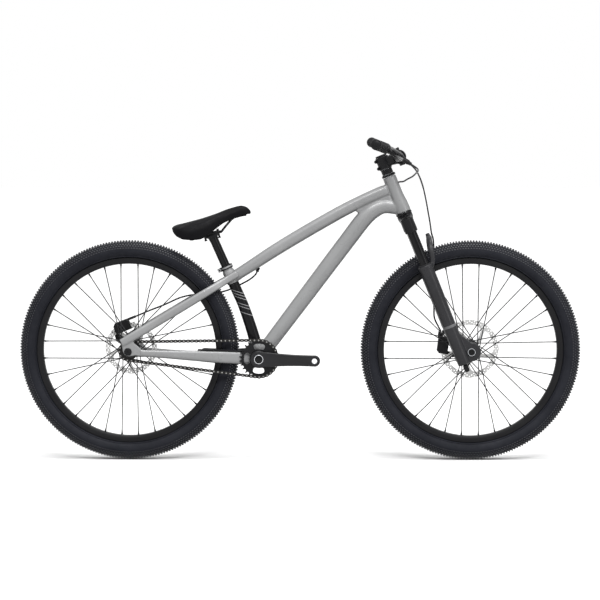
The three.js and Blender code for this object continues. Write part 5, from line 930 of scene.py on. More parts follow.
# %% Links
def prisms(centres, ways, outline, low, high):
    """The same outline set up at many places: each corner is the place plus the outline's X along the way and
    its Z square to it, at two heights across the bike."""
    across = np.stack([-ways[:, 1], ways[:, 0]], 1)
    flat = centres[:, None] + outline[None, :, :1] * ways[:, None] + outline[None, :, 1:] * across[:, None]
    count, n = len(centres), len(outline)
    corners = np.zeros((count, 2, n, 3))
    corners[..., 0], corners[..., 2] = flat[:, None, :, 0], flat[:, None, :, 1]
    corners[:, 0, :, 1], corners[:, 1, :, 1] = low, high
    j = np.arange(n)
    sides = np.stack([j, (j + 1) % n, n + (j + 1) % n, n + j], 1)
    lower, upper = range(n), range(n, 2 * n)
    faces = [[v + k * 2 * n for v in cell] for k in range(count) for cell in (*sides.tolist(), lower, upper)]
    return corners.reshape(-1, 3), faces


link_way = unit(np.roll(pins, -1, 0) - pins)
half = pitch / 2
arc = np.radians(np.linspace(-118, 118, 7))
end_radius, waist = 5.0, 3.4
end_cap = np.stack([half + end_radius * np.cos(arc), end_radius * np.sin(arc)], 1)
figure = np.vstack([end_cap, [[0, waist]], -end_cap, [[0, -waist]]])
middles = pins + link_way * half
plates = []
for parity, low, high in ((0, 1.65, 2.5), (1, 2.6, 3.5)):
    pick = np.arange(links) % 2 == parity
    for side in (-1, 1):
        y = sorted((chain_line + side * low, chain_line + side * high))
        plates.append(prisms(middles[pick], link_way[pick], figure, *y))
piece("chain_plates", plates, chain_steel, "frame", "chain_steel", "chain", sharp=40)
rollers = prisms(pins, link_way, circle(3.9, 14), chain_line - 1.6, chain_line + 1.6)
rivets = prisms(pins, link_way, circle(2.2, 12), chain_line - 3.75, chain_line + 3.75)
pin_steel = finish("pin_steel", (0.22, 0.215, 0.21), (0.36, 0.355, 0.345), 0.6, (0.25, 0.4), drift=80)
piece("chain_pins", [rollers, rivets], pin_steel, "frame", "chain_steel", "chain", sharp=40)

# %% Chainring and rear cog
def sprocket(teeth, radius, phase, holes):
    """A toothed outline: each tooth stands halfway between two rollers. Its profile pairs a rise over the
    pitch circle with a distance from the tooth's own middle, first one flank and then the other."""
    rise = np.array([-4.1, -3.6, -2.5, -0.9, 1.2, 2.8, 3.65, 3.85])
    aside = np.array([pitch / 2, 4.4, 3.1, 2.35, 1.9, 1.3, 0.6, 0.0])
    rise, aside = np.r_[rise, rise[-2:0:-1]], np.r_[-aside, aside[-2:0:-1]]
    middle = phase + (np.arange(teeth) + 0.5) * 2 * np.pi / teeth
    r = radius + np.tile(rise, teeth)
    angle = np.repeat(middle, len(rise)) + np.tile(aside, teeth) / radius
    outline = np.stack([r * np.cos(angle), r * np.sin(angle)], 1)
    return slab(outline, chain_line - 1, chain_line + 1, 0.45, holes)


crank_tilt = np.radians(1.7)
windows = [polar_window(29, 46, np.radians(28), np.radians(24), i * np.pi / 2 - crank_tilt, 0.0, 40, 4)
           for i in range(4)]
toothed = sprocket(ring_teeth, ring_radius, top_angle, windows + [circle(17.3, 40)])
piece("chainring_fine", [moved(toothed, bottom_bracket)], black_alloy, "crank", "black_alloy", "chainring",
      sharp=30)
travelled = np.mod(ring_radius * wraps[0] + straight, pitch)
cog_phase = top_angle - wraps[0] - (pitch - travelled) / cog_radius
cog = sprocket(cog_teeth, cog_radius, cog_phase, [circle(16.8, 36)])
piece("rear_cog_fine", [moved(cog, rear_axle)], chain_steel, "cog", "bright_steel", "rear_cog", sharp=30)

# %% [markdown]
# ## Cranks
# A forged arm is a flat bar that widens at both ends, with all its edges well rounded. The right one
# carries the chainring on a boss, shows a thin polished washer round its cap and an open eye for a pedal.

# %% Crank arms
crank_length, hub_end_radius, eye_end_radius = 170, 25.3, 17.3
inner_face, outer_face = 60, 74


def arm_outline():
    """Hub circle and pedal circle joined by flanks that draw in a little towards the middle."""
    flank_start, hub_half, eye_half, waist = 12, 23.5, 16.8, 2.4
    turn = np.radians(np.linspace(62, 298, 40))
    end = np.radians(np.linspace(-80, 80, 28))
    flank = np.linspace(0.08, 0.92, 14)
    half = hub_half + (eye_half - hub_half) * flank - waist * np.sin(np.pi * flank)
    x = flank_start + (crank_length - flank_start) * flank
    hub_end = hub_end_radius * np.stack([np.cos(turn), np.sin(turn)], 1)
    eye = eye_end_radius * np.stack([np.cos(end), np.sin(end)], 1) + [crank_length, 0]
    return np.vstack([hub_end, np.stack([x, -half], 1), eye, np.stack([x, half], 1)[::-1]])


def crank_ring(rows, at=0.0):
    """A turned ring about the hub's or the eye's axis, given as rows of radius and place across the bike."""
    return moved(lathe(rows, 60), (at, 0, 0))


for side, name in ((-1, "right"), (1, "left")):
    s = -side
    along, square = s * np.cos(crank_tilt), s * np.sin(crank_tilt)
    place = (bottom_bracket, (along, 0, -square), (square, 0, along))
    low, high = sorted((side * inner_face, side * outer_face))
    arm = slab(arm_outline(), low, high, 3.2, [circle(7.5, 32) + [crank_length, 0]], steps=4)
    if side < 0:
        boss = [[14.6, -62], [25.2, -62], [25.2, -49], [24.6, -48.4], [17, -48.3], [17, -44.2], [14.6, -44.1]]
    else:
        boss = [[14.2, 44.2], [24, 44.2], [25.2, 46], [25.2, 62], [14.2, 62]]
    piece(f"crank_arm_{name}_fine", [moved(arm, *place), moved(crank_ring(boss), *place)], crank_grey,
          "crank", "crank_alloy", f"crank_arm_{name}")
    outwards = lambda rows: [[r, side * (outer_face + y)] for r, y in rows]
    on_face = lambda rows, at=0.0: moved(crank_ring(outwards(rows), at), *place)
    washer = [[12.2, -1.0], [12.3, 0.2], [13.6, 0.2], [13.9, -0.1], [13.9, -2], [12.2, -2]]
    eye = [[7.3, -13.6], [7.3, -0.1], [7.6, 0.2], [8.3, 0.2], [8.5, -0.3], [8.5, -1.6], [7.6, -13.6]]
    piece(f"crank_bright_{name}", [on_face(washer), on_face(eye, crank_length)], bright_steel, "crank",
          "bright_steel", f"crank_arm_{name}")
    cap = [[0, 0.2], [4.0, 0.25], [4.3, 0.6], [9.6, 0.5], [11.8, -0.1], [12.2, -0.6], [12.2, -3], [0, -3]]
    piece(f"crank_cap_{name}", [on_face(cap)], gloss_black, "crank", "black_alloy", f"crank_arm_{name}")

# %% [markdown]
# ## The fork
# The lowers are one casting: two hollow legs, an arch that bows forward over the tyre, and lugs that hold
# the axle ahead of the legs. Separate solids are laid into each other and a voxel remesh joins them, and
# a little smoothing then gives the soft inner corners that a casting has.

# %% Fork lowers
leg_profile = [[0, -497], [17.2, -497], [19.4, -495.2], [20, -492], [22, -185], [23.3, -183], [23.4, -173],
               [22.4, -171.5], [15.8, -171.5], [15.8, -443], [0, -443]]


def on_both_legs(profile, sides=56):
    """A turned piece about the axis of each fork leg."""
    return [moved(lathe(profile, sides, "z"), (0, side * leg_across, 0)) for side in (-1, 1)]


arch_across = np.array([1, 1, 0.93, 0.72, 0.38, 0])
arch_rise = np.array([0, 0.25, 0.55, 0.84, 0.97, 1])
arch_ahead = np.array([0.4, 0.66, 0.8, 0.93, 1, 1])
half_arch = np.stack([arch_ahead * 43, arch_across * 62.2, arch_rise * 84 - 183.4], 1)
arch_line = smooth_path(np.vstack([half_arch, half_arch[-2::-1] * [1, -1, 1]]), 90)
arch_way = unit(slopes(arch_line) * [0, 1, 1])
arch_out = np.stack([0 * arch_way[:, 0], arch_way[:, 2], -arch_way[:, 1]], 1)
oval = super_section(28, 3.2)
across_arch = arch_out[:, None] * oval[:, :1] * 5.6
arch = loft(arch_line[:, None] + across_arch + np.array([1.0, 0, 0]) * oval[:, 1:] * 8.2)
tab = moved(slab(np.array([[-7, 0], [7, 0], [6, 9], [-6, 9]]), -5, 5, 2, steps=2), (43, 0, -96))


def axle_lug(side):
    """A flat lug from the leg's foot to a round eye about the axle."""
    lug_radius, bore = 29, 7.9
    turn = np.linspace(-0.58 * np.pi, 0.4 * np.pi, 30)
    eye = lug_radius * np.stack([np.cos(turn), np.sin(turn)], 1) + [axle_offset, -axle_drop]
    outline = np.vstack([[-16.6, -496], eye, [18, -398], [-16.6, -398]])
    low, high = sorted((side * 50.3, side * 72.3))
    return slab(outline, low, high, 3.5, [circle(bore, 24) + [axle_offset, -axle_drop]], steps=3)


def caliper_post(rise):
    """One of the two posts behind the left leg that the caliper is bolted to."""
    block = np.array([[-27, -7], [-16, -7], [-16, 7], [-27, 7]])
    return moved(slab(block, 48.6, 60.2, 1.6, steps=2), (0, 0, rise - axle_drop))


lugs_and_posts = [axle_lug(-1), axle_lug(1), caliper_post(0), caliper_post(76)]
lowers = [*on_both_legs(leg_profile, 64), arch, tab, *lugs_and_posts]
piece("fork_lowers_cast", [steered(s) for s in lowers], fork_grey, "fork_slider", "fork_paint", "fork_lowers",
      remesh=1.7, soften=5)
seal = [[15.2, -171.8], [21.6, -171.8], [21.8, -170.4], [20.8, -169.2], [17.6, -168.4], [15.3, -168.2]]
piece("fork_seals", [steered(s) for s in on_both_legs(seal)], grip_rubber, "fork_slider", "fork_paint",
      "fork_lowers")
band = [[20.2, -376], [21.15, -376], [21.25, -375], [21.3, -369], [21.2, -368], [20.4, -368]]
band_grey = finish("band_grey", (0.10, 0.10, 0.105), (0.15, 0.15, 0.155), 0.0, (0.3, 0.4), coat=0.1,
                   specular=0.3)
piece("fork_bands", [steered(s) for s in on_both_legs(band)], band_grey, "fork_slider", "fork_paint",
      "fork_lowers")

# %% Crown, stanchions and axle
arm_ring = super_section(32, 3)


def crown_ring(across):
    """The crown's section at a share of the way to a leg: it gets narrower and sinks outwards, by that
    share raised to the power of 1.4."""
    middle_half, taper, base, sink, half_height = 23, 7, -20, 10.7, 12
    away = np.abs(across)
    return np.stack([(middle_half - taper * away) * arm_ring[:, 0], np.full(32, across * leg_across),
                     base - sink * away**1.4 + half_height * arm_ring[:, 1]], 1)


crown_arms = loft([crown_ring(across) for across in np.linspace(-1, 1, 41)])
socket = [[15.4, -62.8], [19, -63], [20, -62], [20, -20], [18.8, -18.8], [15.4, -18.8]]
boss = lathe([[15.0, -22], [22.4, -22], [24, -20.4], [24, -8.2], [23.2, -7.4], [15.0, -7.4]], 64, "z")
crown = (crown_arms, boss, *on_both_legs(socket))
piece("fork_crown_forged", [steered(s) for s in crown], black_alloy, "steering", "black_alloy", "fork_crown",
      remesh=1.5, soften=4)
tube = [[0, -12.8], [5, -12.8], [5.4, -13.8], [9.4, -13.8], [10.2, -12.8], [11, -13.4], [11, -15.8],
        [14.5, -15.8], [15, -16.3], [15, -301.4], [14.4, -301.7], [0, -301.7]]
for name, stanchion in zip(("right", "left"), on_both_legs(tube, 72)):
    piece(f"stanchion_{name}_fine", [steered(stanchion)], gloss_black, "steering", "stanchion_black",
          f"stanchion_{name}")
axle_place = (axle_offset, 0, -axle_drop)
axle_shape = mirrored([[0, 74.4], [4.6, 74.4], [5.2, 76.2], [10.6, 76.5], [11.9, 75.4], [12, 72.7],
                       [7.4, 72.7]])
piece("front_axle_fine", [steered(moved(lathe(axle_shape, 56), axle_place))], black_alloy, "fork_slider",
      "black_alloy", "front_axle")
eye_ring = [[10.2, -76.2], [11.6, -76.2], [11.7, -76.6], [11.5, -76.9], [10.4, -76.9]]
piece("front_axle_ring", [steered(moved(lathe(eye_ring, 56), axle_place))], bright_steel, "fork_slider",
      "black_alloy", "front_axle")
rear_shape = mirrored([[0, 78.2], [3.4, 78.2], [4, 79.8], [10.4, 80.0], [11.6, 79], [11.8, 75.3], [5, 75.3]])
piece("rear_axle_fine", [moved(lathe(rear_shape, 56), rear_axle)], black_alloy, "frame", "bright_steel",
      "rear_axle")


def fluted(profile, sides, lobes, depth):
    """A lathe whose radius falls by a share in each of a number of flutes."""
    corners, faces = lathe(profile, sides, "z")
    turn = np.arctan2(corners[:, 1], corners[:, 0])
    corners[:, :2] *= 1 - depth * (0.5 + 0.5 * np.cos(turn * lobes))[:, None]
    return corners, faces


knob_profile = [[0, -497.4], [6, -497.4], [6.4, -500], [8, -501.6], [8, -516.6], [7, -519.6], [5.6, -521.2],
                [0, -521.2]]
knob = fluted(knob_profile, 96, 12, 0.07)
piece("rebound_knob_fine", [steered(moved(knob, (0, -leg_across, 0)))], black_alloy, "knob", "bright_steel",
      "rebound_knob")

# %% [markdown]
# ## Headset, stem and bar
# The bearings' cups, the spacer and the cap are turned. The stem is forged, so it gets the same melted
# joints as the fork. The bar's middle is thick where the stem clamps it and tapers towards the grips.

# %% Headset
upper_cup = [[15, 118.4], [20.4, 118.4], [21.4, 119.2], [21.5, 122], [20.6, 124.4], [18.6, 126], [15, 126]]
lower_cup = [[15, -7], [24, -7], [24.9, -6.2], [25, -1.4], [24.4, -0.6], [15, -0.6]]
for name, cup in (("upper", upper_cup), ("lower", lower_cup)):
    piece(f"headset_{name}_fine", [steered(lathe(cup, 64, "z"))], black_alloy, "frame", "black_alloy",
          f"headset_cup_{name}")
spacer = [[14.7, 126.7], [17.2, 126.7], [17.5, 127.2], [17.5, 134.0], [17.1, 134.4], [17.1, 134.8],
          [17.5, 135.2], [17.5, 141.8], [17.2, 142.2], [14.7, 142.2]]
piece("headset_spacer_fine", [steered(lathe(spacer, 64, "z"))], black_alloy, "steering", "black_alloy",
      "headset_spacer")
cap = [[0, 186.6], [3.6, 186.6], [4.2, 188.0], [15.8, 187.9], [17.2, 187.0], [17.5, 185.8], [17.5, 183.0],
       [0, 183.0]]
piece("stem_cap_fine", [steered(lathe(cap, 64, "z"))], black_alloy, "steering", "black_alloy", "stem_cap")

# %% Stem
stem_reach, stem_rise = 50, 162.6


def clamp_half(sign):
    """Half of the bar's clamp with its two ears, as an outline about the bar's centre."""
    clamp_radius, bore = 22, 16.2
    turn = np.radians(np.linspace(-72, 72, 40))
    inner = np.radians(np.linspace(88, -88, 40))
    outside = clamp_radius * np.stack([np.cos(turn), np.sin(turn)], 1)
    inside = bore * np.stack([np.cos(inner), np.sin(inner)], 1)
    outline = np.vstack([[0.4, -27.6], [6.4, -27.6], [6.8, -21.1], outside, [6.8, 21.1], [6.4, 27.6],
                         [0.4, 27.6], [0.4, 16.4], inside, [0.4, -16.4]])
    return outline * [sign, 1] + [stem_reach, stem_rise]


neck_start, neck_length = 2, 33
share = np.linspace(0, 1, 24)
wide = 17 * np.interp(share, [0, 0.35, 0.7, 1], [0.9, 0.9, 1.25, 1.35])
high = 15 * np.interp(share, [0, 0.35, 0.7, 1], [1.2, 1, 1.1, 1.25])
neck_ring = super_section(36, 3.4)
neck_rings = [np.stack([np.full(36, neck_start + s * neck_length), w * neck_ring[:, 0],
                        stem_rise + h * neck_ring[:, 1]], 1) for s, w, h in zip(share, wide, high)]
neck = loft(neck_rings)
stem_post = lathe([[14.8, 142.8], [19.2, 142.8], [20, 143.6], [20, 181.6], [19.2, 182.4], [14.8, 182.4]], 64,
                  "z")
stem_back = slab(clamp_half(-1), -23.8, 23.8, 1.5, steps=2)
pinch_behind, pinch_rises = 21.5, (151, 174)
pinch_boss = lathe([[0, -9], [4.6, -9], [5, -8.6], [5, 8.6], [4.6, 9], [0, 9]], 32)
stem_bosses = [moved(pinch_boss, (-pinch_behind, 0, z)) for z in pinch_rises]
piece("stem_forged", [steered(s) for s in (neck, stem_post, stem_back, *stem_bosses)], black_alloy,
      "steering", "black_alloy", "stem", remesh=1.1, soften=3)
stem_front = slab(clamp_half(1), -23.8, 23.8, 1.5, steps=3)
piece("stem_faceplate_fine", [steered(stem_front)], black_alloy, "steering", "black_alloy", "stem_faceplate")
bolt = lathe([[0, 0], [3.6, 0], [3.6, 2.2], [3.2, 3], [1.9, 3], [1.6, 1.4], [0, 1.4]], 28, "z")
bolts = [moved(bolt, (56.6, y, stem_rise + z), (0, 0, 1), (1, 0, 0)) for y in (-18, 18)
         for z in (-24.6, 24.6)]
bolts += [moved(bolt, (-pinch_behind, -9, z), (1, 0, 0), (0, -1, 0)) for z in pinch_rises]
piece("stem_bolts", [steered(s) for s in bolts], gloss_black, "steering", "black_alloy", "stem_faceplate")

# %% Handlebar and grips
bar_across = np.array([0, 0.073, 0.143, 0.299, 0.364, 0.45, 0.62, 0.8, 1])
bar_back = np.array([0, 0, 0.06, 0.24, 0.313, 0.406, 0.5896, 0.784, 1])
bar_rise = np.array([0, 0, 0.066, 0.37, 0.452, 0.528, 0.6739, 0.8284, 1])
bar_radius = 11.1 + 4.8 * np.array([1, 1, 0.8, 0, 0, 0, 0, 0, 0])
bar_end, straight_from = 385, 5
bar_half = np.stack([stem_reach - bar_back * 56.3, bar_across * bar_end, stem_rise + bar_rise * 66.6,
                     bar_radius], 1)
bar_line = smooth_path(np.vstack([bar_half[:0:-1] * [1, -1, 1, 1], bar_half]), 160)
piece("handlebar_fine", [steered(bar(bar_line[:, :3], bar_line[:, 3], 40))], tube_black, "steering",
      "black_paint", "handlebar")


def grip_point(across, side):
    """A point on the straight end of the bar, a distance across from the middle, in the bike's frame."""
    a, b = bar_half[straight_from, :3], bar_half[-1, :3]
    x, y, z = a + (b - a) * (across - a[1]) / (b[1] - a[1])
    return steered_point(x, side * y, z)


def grip_way(across, side):
    """The grip's direction, outwards from a point of it to the bar's end."""
    return unit(grip_point(bar_end, side) - grip_point(across, side))


ribs = np.arange(11, 124, 3.4)
rib_rise = (ribs[:, None] + [0, 0.5, 1.9, 2.4]).ravel()
rib_profile = np.stack([np.tile([14.5, 15.6, 15.6, 14.5], len(ribs)), rib_rise], 1)
flange_profile = [[15.8, 126], [16, 127], [16, 130.6], [15, 132.4], [11.6, 132.4]]
grip_profile = np.vstack([[11.6, 8.4], [14.4, 8.4], rib_profile, flange_profile])
collar = lathe([[11.5, 0], [15.5, 0], [16, 0.5], [16, 7.3], [15.5, 7.8], [11.5, 7.8]], 56, "z")
end_plug = lathe([[0, 134.6], [8, 134.4], [11, 133.6], [12.4, 132.6], [11, 131.6], [0, 131.6]], 48, "z")
grip_start = 255
for side, name in ((-1, "right"), (1, "left")):
    out = grip_way(grip_start, side)
    place = (grip_point(grip_start, side), np.cross(out, [0, 0, 1.0]), out)
    piece(f"grip_{name}_fine", [moved(lathe(grip_profile, 56, "z"), *place)], grip_rubber, "steering",
          "grip_rubber", f"grip_{name}")
    piece(f"grip_ends_{name}", [moved(collar, *place), moved(end_plug, *place)], black_alloy, "steering",
          "black_alloy", f"grip_{name}")

# %% [markdown]
# ## Brake levers
# Each lever unit is drawn lying flat, with X along its cylinder and Z along the bar, and is then set on the
# bar. The blade is a flattened tube that curves out from its pivot and ends in a ball.

# %% Levers and master cylinders
lever_reach = np.array([0, 0.5, 1, 1.06, 0.92, 0.78]) * 26
lever_out = np.array([0, 0.12, 0.3, 0.62, 0.88, 1]) * 118
pivot = np.array([42, 0, 17])
blade_line = pivot + np.stack([lever_reach, 0 * lever_out, lever_out], 1)
blade = frame_tube(blade_line, [11, 10, 9, 8, 8, 8.6], [8, 8, 8, 7.4, 7.4, 8], 70, 2.4, 32)
tip = lathe([[0, -4.6], [2.6, -3.9], [4.2, -2.0], [4.6, 0], [4.2, 2.0], [2.6, 3.9], [0, 4.6]], 28)
cylinder = bar(np.outer([13, 17, 26, 60, 66, 80, 84, 91], [1, 0, 0]),
               [6.8, 8.2, 8.6, 8.6, 7.6, 7.6, 5.6, 5.2], 40)
clamp_ring = lathe([[11.6, -6.4], [15.4, -6.4], [16, -5.8], [16, 5.8], [15.4, 6.4], [11.6, 6.4]], 56, "z")
pivot_boss = lathe([[0, -7.3], [6.9, -7.3], [7.6, -6.6], [7.6, -4.4], [0, -4.4]], 36)
web = slab(np.array([[34.6, 0], [49.4, 0], [49.4, 17], [34.6, 17]]), -7.2, -4.4, 0.8)
pivot_bolt = lathe([[0, -8.2], [3.2, -8.2], [3.6, -7.7], [3.6, 7.7], [3.2, 8.2], [0, 8.2]], 28)
flip = lambda surface: (surface[0] * [1, -1, 1], surface[1])
pod_along, pod_swell = np.linspace(22, 58, 14), np.sin(np.linspace(0.5, np.pi - 0.5, 14)) ** 0.3
lever_place, droop = 230, np.radians(53.5)
for side, name in ((-1, "right"), (1, "left")):
    out = grip_way(lever_place, side)
    ahead = np.cos(droop) * steering_forward - np.sin(droop) * steering_up
    place = (grip_point(lever_place, side), unit(ahead - out * np.dot(ahead, out)), out)
    pod = loft([np.stack([np.full(28, x), 5.4 * w * oval[:, 0] - side * 6, 1.0 + 8.4 * w * oval[:, 1]], 1)
                for x, w in zip(pod_along, pod_swell)])
    shell = [clamp_ring, cylinder, moved(pivot_boss, pivot), moved(flip(pivot_boss), pivot), web, flip(web),
             pod]
    piece(f"master_{name}_body", [moved(s, *place) for s in shell], black_alloy, "steering", "black_alloy",
          f"master_cylinder_{name}", remesh=0.9, soften=2)
    piece(f"lever_{name}_blade", [moved(blade, *place), moved(moved(tip, blade_line[-1]), *place)],
          gloss_black, f"lever_{name}", "black_alloy", f"brake_lever_{name}")
    piece(f"lever_{name}_bolt", [moved(moved(pivot_bolt, pivot), *place)], gloss_black, "steering",
          "bright_steel", f"master_cylinder_{name}")

# %% [markdown]
# ## Hoses
# The brake hoses are held by the bike along their whole run, so they are plain bars along a smooth route.
# A rubber plug closes each hole where the rear hose goes in and out of the top tube.

# %% Hoses
hose_radius, hose_reference = 2.5, (0.3, 0.2, 1)
front_route = [[332.1, 249, 911.3], [349.6, 252, 899.1], [363.4, 240, 883.5], [373.5, 215, 863.5],
               [382.7, 178, 834.5], [390.2, 135, 796.5], [396.5, 97, 755.9], [401.7, 70, 721.3],
               [405.1, 52, 694.2], [409.7, 46, 677.3], [411.5, 42.5, 645], [404, 37, 592], [410, 37.5, 530],
               [413, 43, 470], [415, 46, 432], [427, 43.5, 406], [433.9, 42.65, 391], [432.2, 42.65, 378.9]]
bar_route = [[332.1, -249, 911.3], [346.5, -251, 901.6], [353.8, -206, 892.6], [349.6, -140, 882.5],
             [341, -90, 872], [327.2, -45, 862.8], [316, -12, 855], [305, 12, 853], [291, 32, 849],
             [268, 38, 837], [243, 33, 823], [229.2, 26.5, 814.4]]
stay_route = [[-131, 3, 580], [-135, 5, 571], [-152, 15, 555], [-187, 27, 535], [-219, 38, 520],
              [-250, 50, 511], [-288, 61, 506], [-328, 64, 503], [-370, 62, 494], [-420, 59, 472],
              [-470, 56.5, 452.5], [-497.7, 56.25, 440.6], [-508.8, 56.25, 436.1]]


def hose(route, count):
    """A round hose along the smooth curve through the route's points."""
    line = smooth_path(route, count)
    length = np.linalg.norm(np.diff(line, axis=0), axis=1).sum()
    print("hose length", round(length), "mm")
    return bar(line, hose_radius, 16, hose_reference, caps=False)


def grommet(end, before):
    """A rubber plug in the tube's wall where a hose goes in: a short bar along the hose, with a lip."""
    way = unit(np.subtract(end, before))
    steps = np.array([-1.6, -0.8, 0.6, 1.2, 12])
    return bar(np.asarray(end) + np.outer(steps, way), [3.6, 5.2, 5.6, 4.6, 4.6], 28, hose_reference)


plugs = [grommet(bar_route[-1], bar_route[-2]), grommet(stay_route[0], stay_route[1])]
piece("hose_grommets", plugs, grip_rubber, "frame", "hose_plastic", "top_tube")
piece("front_hose_fine", [hose(front_route, 200)], hose_plastic, "steering", "hose_plastic", "front_hose")
piece("rear_hose_front_fine", [hose(bar_route, 140)], hose_plastic, "frame", "hose_plastic",
      "rear_hose_front")
piece("rear_hose_rear_fine", [hose(stay_route, 140)], hose_plastic, "frame", "hose_plastic", "rear_hose_rear")

# %% [markdown]
# ## Machined pieces that keep their packed outline
# Calipers, pads, the strip on the chainstay and the steerer tube are right as they are packed. They get
# bevelled edges and their finish.

# %% Calipers and small pieces
refined_node("rear_caliper", black_alloy, "frame", "black_alloy", 1.2)
refined_node("front_caliper", black_alloy, "fork_slider", "black_alloy", 1.2)
refined_node("chainstay_guard", grip_rubber, "frame", "grip_rubber", 1.4)
for end in ("rear", "front"):
    for side in ("inner", "outer"):
        refined_node(f"{end}_pad_{side}", chain_steel, f"pad_{end}_{side}", "black_alloy", 0.4)
refined_node("steerer_tube", bright_steel, "steering", "bright_steel", 0.3)

# %% [markdown]
# ## Seat post and saddle
# The saddle is a stuffed cover over a plastic shell on two rails, which a clamp holds on the post. The
# cover is drawn as rings across the saddle: an arch over the top, drawn-in sides and a hollow underneath.

# %% Seat post, clamp and rails
post = [[0, -99.6], [12.4, -99.6], [13.6, -98.4], [13.6, 84], [14.4, 88], [15, 93], [15, 97], [0, 97]]
piece("seatpost_fine", [on_post(lathe(post, 72, "z"))], gloss_black, "saddle", "black_paint", "seatpost")
clamp_centre = seat_top + 106 * seat_up
level_tilt = np.radians(14)
level_way = np.array([np.cos(level_tilt), 0, np.sin(level_tilt)])
clamp_place = (clamp_centre, level_way, (-level_way[2], 0, level_way[0]))
upper = slab(np.array([[-25, 0.6], [25, 0.6], [24, 6.6], [-24, 6.6]]), -27.8, 27.8, 1.6, steps=2)
lower = slab(np.array([[-20, -0.6], [-20, -8], [-13, -11], [13, -11], [20, -8], [20, -0.6]]), -27.8, 27.8,
             1.6, steps=2)
clamp_bolt = bar(np.outer([-17.6, -15, -14, 7.6, 9, 11], [0, 0, 1]), [4.6, 4.8, 3.2, 3.2, 4.4, 4.2], 28,
                 (0, 1, 0))
clamp_bolts = [moved(clamp_bolt, (x, 0, 0)) for x in (-21.6, 21.6)]
for name, parts, look in (("fine", (upper, lower), black_alloy), ("bolts", clamp_bolts, gloss_black)):
    piece(f"saddle_clamp_{name}", [moved(s, *clamp_place) for s in parts], look, "saddle", "black_alloy",
          "saddle_clamp")


saddle_back, saddle_bottom, saddle_length, saddle_height = -392, 677, 243, 104


def saddle_place(along, rise):
    """Shares of the saddle's length and height turned into millimetres of the bike."""
    return saddle_back + np.asarray(along) * saddle_length, saddle_bottom + np.asarray(rise) * saddle_height


rear_x, rear_z = saddle_place([0.09, 0.145, 0.21], [0.18, 0.1, 0.03])
front_x, front_z = saddle_place([0.655, 0.69, 0.72, 0.749, 0.77, 0.776],
                                [0.33, 0.43, 0.51, 0.587, 0.625, 0.639])
reach = np.array([-1.6, -1.3, -1.05, -0.4, 0.4, 1.05, 1.25]) * 25
rail_x = np.r_[rear_x, clamp_centre[0] + reach * level_way[0], front_x]
rail_z = np.r_[rear_z, clamp_centre[2] + reach * level_way[2], front_z]
rail_y = 22 * np.r_[1, 1, 1, np.ones(7), 0.9, 0.72, 0.52, 0.36, 0.18, 0]
rail_half = np.stack([rail_x, rail_y, rail_z], 1)
rail_line = smooth_path(np.vstack([rail_half, rail_half[-2::-1] * [1, -1, 1]]), 220)
piece("saddle_rails_fine", [bar(rail_line, 3.5, 24, (0.1, 0, 1))], gloss_black, "saddle", "black_alloy",
      "saddle_rails")

# %% [markdown]
# ## The stuffed cover
# The drawn cover is only the pattern. An even voxel mesh of it becomes cloth under pressure, with its
# lower edge held where it would be stapled to the shell, and swells for twenty frames. A cap on how far a
# corner may move keeps the saddle's outline, and what stays is the soft roundness of padding.

# %% The cover's rings
along = np.array([0, 0.03, 0.08, 0.15, 0.24, 0.33, 0.41, 0.48, 0.56, 0.66, 0.77, 0.87, 0.94, 0.98, 1])
top_rise = np.array([0.36, 0.4, 0.425, 0.46, 0.515, 0.57, 0.625, 0.68, 0.745, 0.84, 0.935, 1, 0.96, 0.88,
                     0.8])
bottom_share = np.array([0.3, 0.17, 0.08, 0.02, 0, 0.01, 0.06, 0.17, 0.32, 0.49, 0.6, 0.67, 0.7, 0.72, 0.76])
wide_share = np.array([0.4, 0.62, 0.82, 0.95, 1, 0.98, 0.93, 0.84, 0.68, 0.46, 0.35, 0.3, 0.26, 0.2, 0.12])
wall_share = np.array([0.9, 0.62, 0.4, 0.32, 0.3, 0.3, 0.3, 0.34, 0.42, 0.5, 0.55, 0.6, 0.7, 0.8, 0.9])
saddle_x, saddle_low = saddle_place(along, bottom_share)
_, saddle_top = saddle_place(along, top_rise)
saddle_half = wide_share * 65
saddle_roof = saddle_top - (saddle_top - saddle_low) * wall_share
over_across = np.array([-0.97, -1, -0.95, -0.8, -0.5, 0, 0.5, 0.8, 0.95, 1, 0.97])
over_rise = np.array([0, 0.3, 0.62, 0.86, 0.97, 1, 0.97, 0.86, 0.62, 0.3, 0])
under_across = np.array([0.86, 0.74, 0, -0.74, -0.86])
under_rise = np.array([0, 0.8, 1, 0.8, 0])


def smooth_rings(rings, rows, columns):
    """Rings of points made finer both ways: round each ring, which closes, and then along the rings."""
    count = rings.shape[1]
    start, end = 1 / (count + 2), (count + 1) / (count + 2)
    fine = [smooth_path(np.vstack([r[-1:], r, r[:2]]), columns + 1, start, end)[:-1] for r in rings]
    return np.stack([smooth_path(np.stack(fine)[:, k], rows) for k in range(columns)], 1)


def cover_ring(x, half, low, top, roof):
    """One ring across the saddle: an arch from the lower edge to the top, and a hollow under the roof."""
    rise = np.r_[low + over_rise * (top - low), low + under_rise * (roof - low)]
    return np.stack([np.full(16, x), np.r_[over_across, under_across] * half, rise], 1)


cover_stations = zip(saddle_x, saddle_half, saddle_low, saddle_top, saddle_roof)
cover_rings = np.stack([cover_ring(*station) for station in cover_stations])
cover = loft(smooth_rings(cover_rings, 90, 96))
vinyl = finish("saddle_vinyl", (0.003, 0.003, 0.0036), (0.006, 0.006, 0.007), 0.0, (0.42, 0.56), drift=18,
               grain=700, bump=0.3, specular=0.06)
saddle = piece("saddle_cover", [cover], vinyl, "saddle", "saddle_cover", "saddle_cushion", sharp=60)

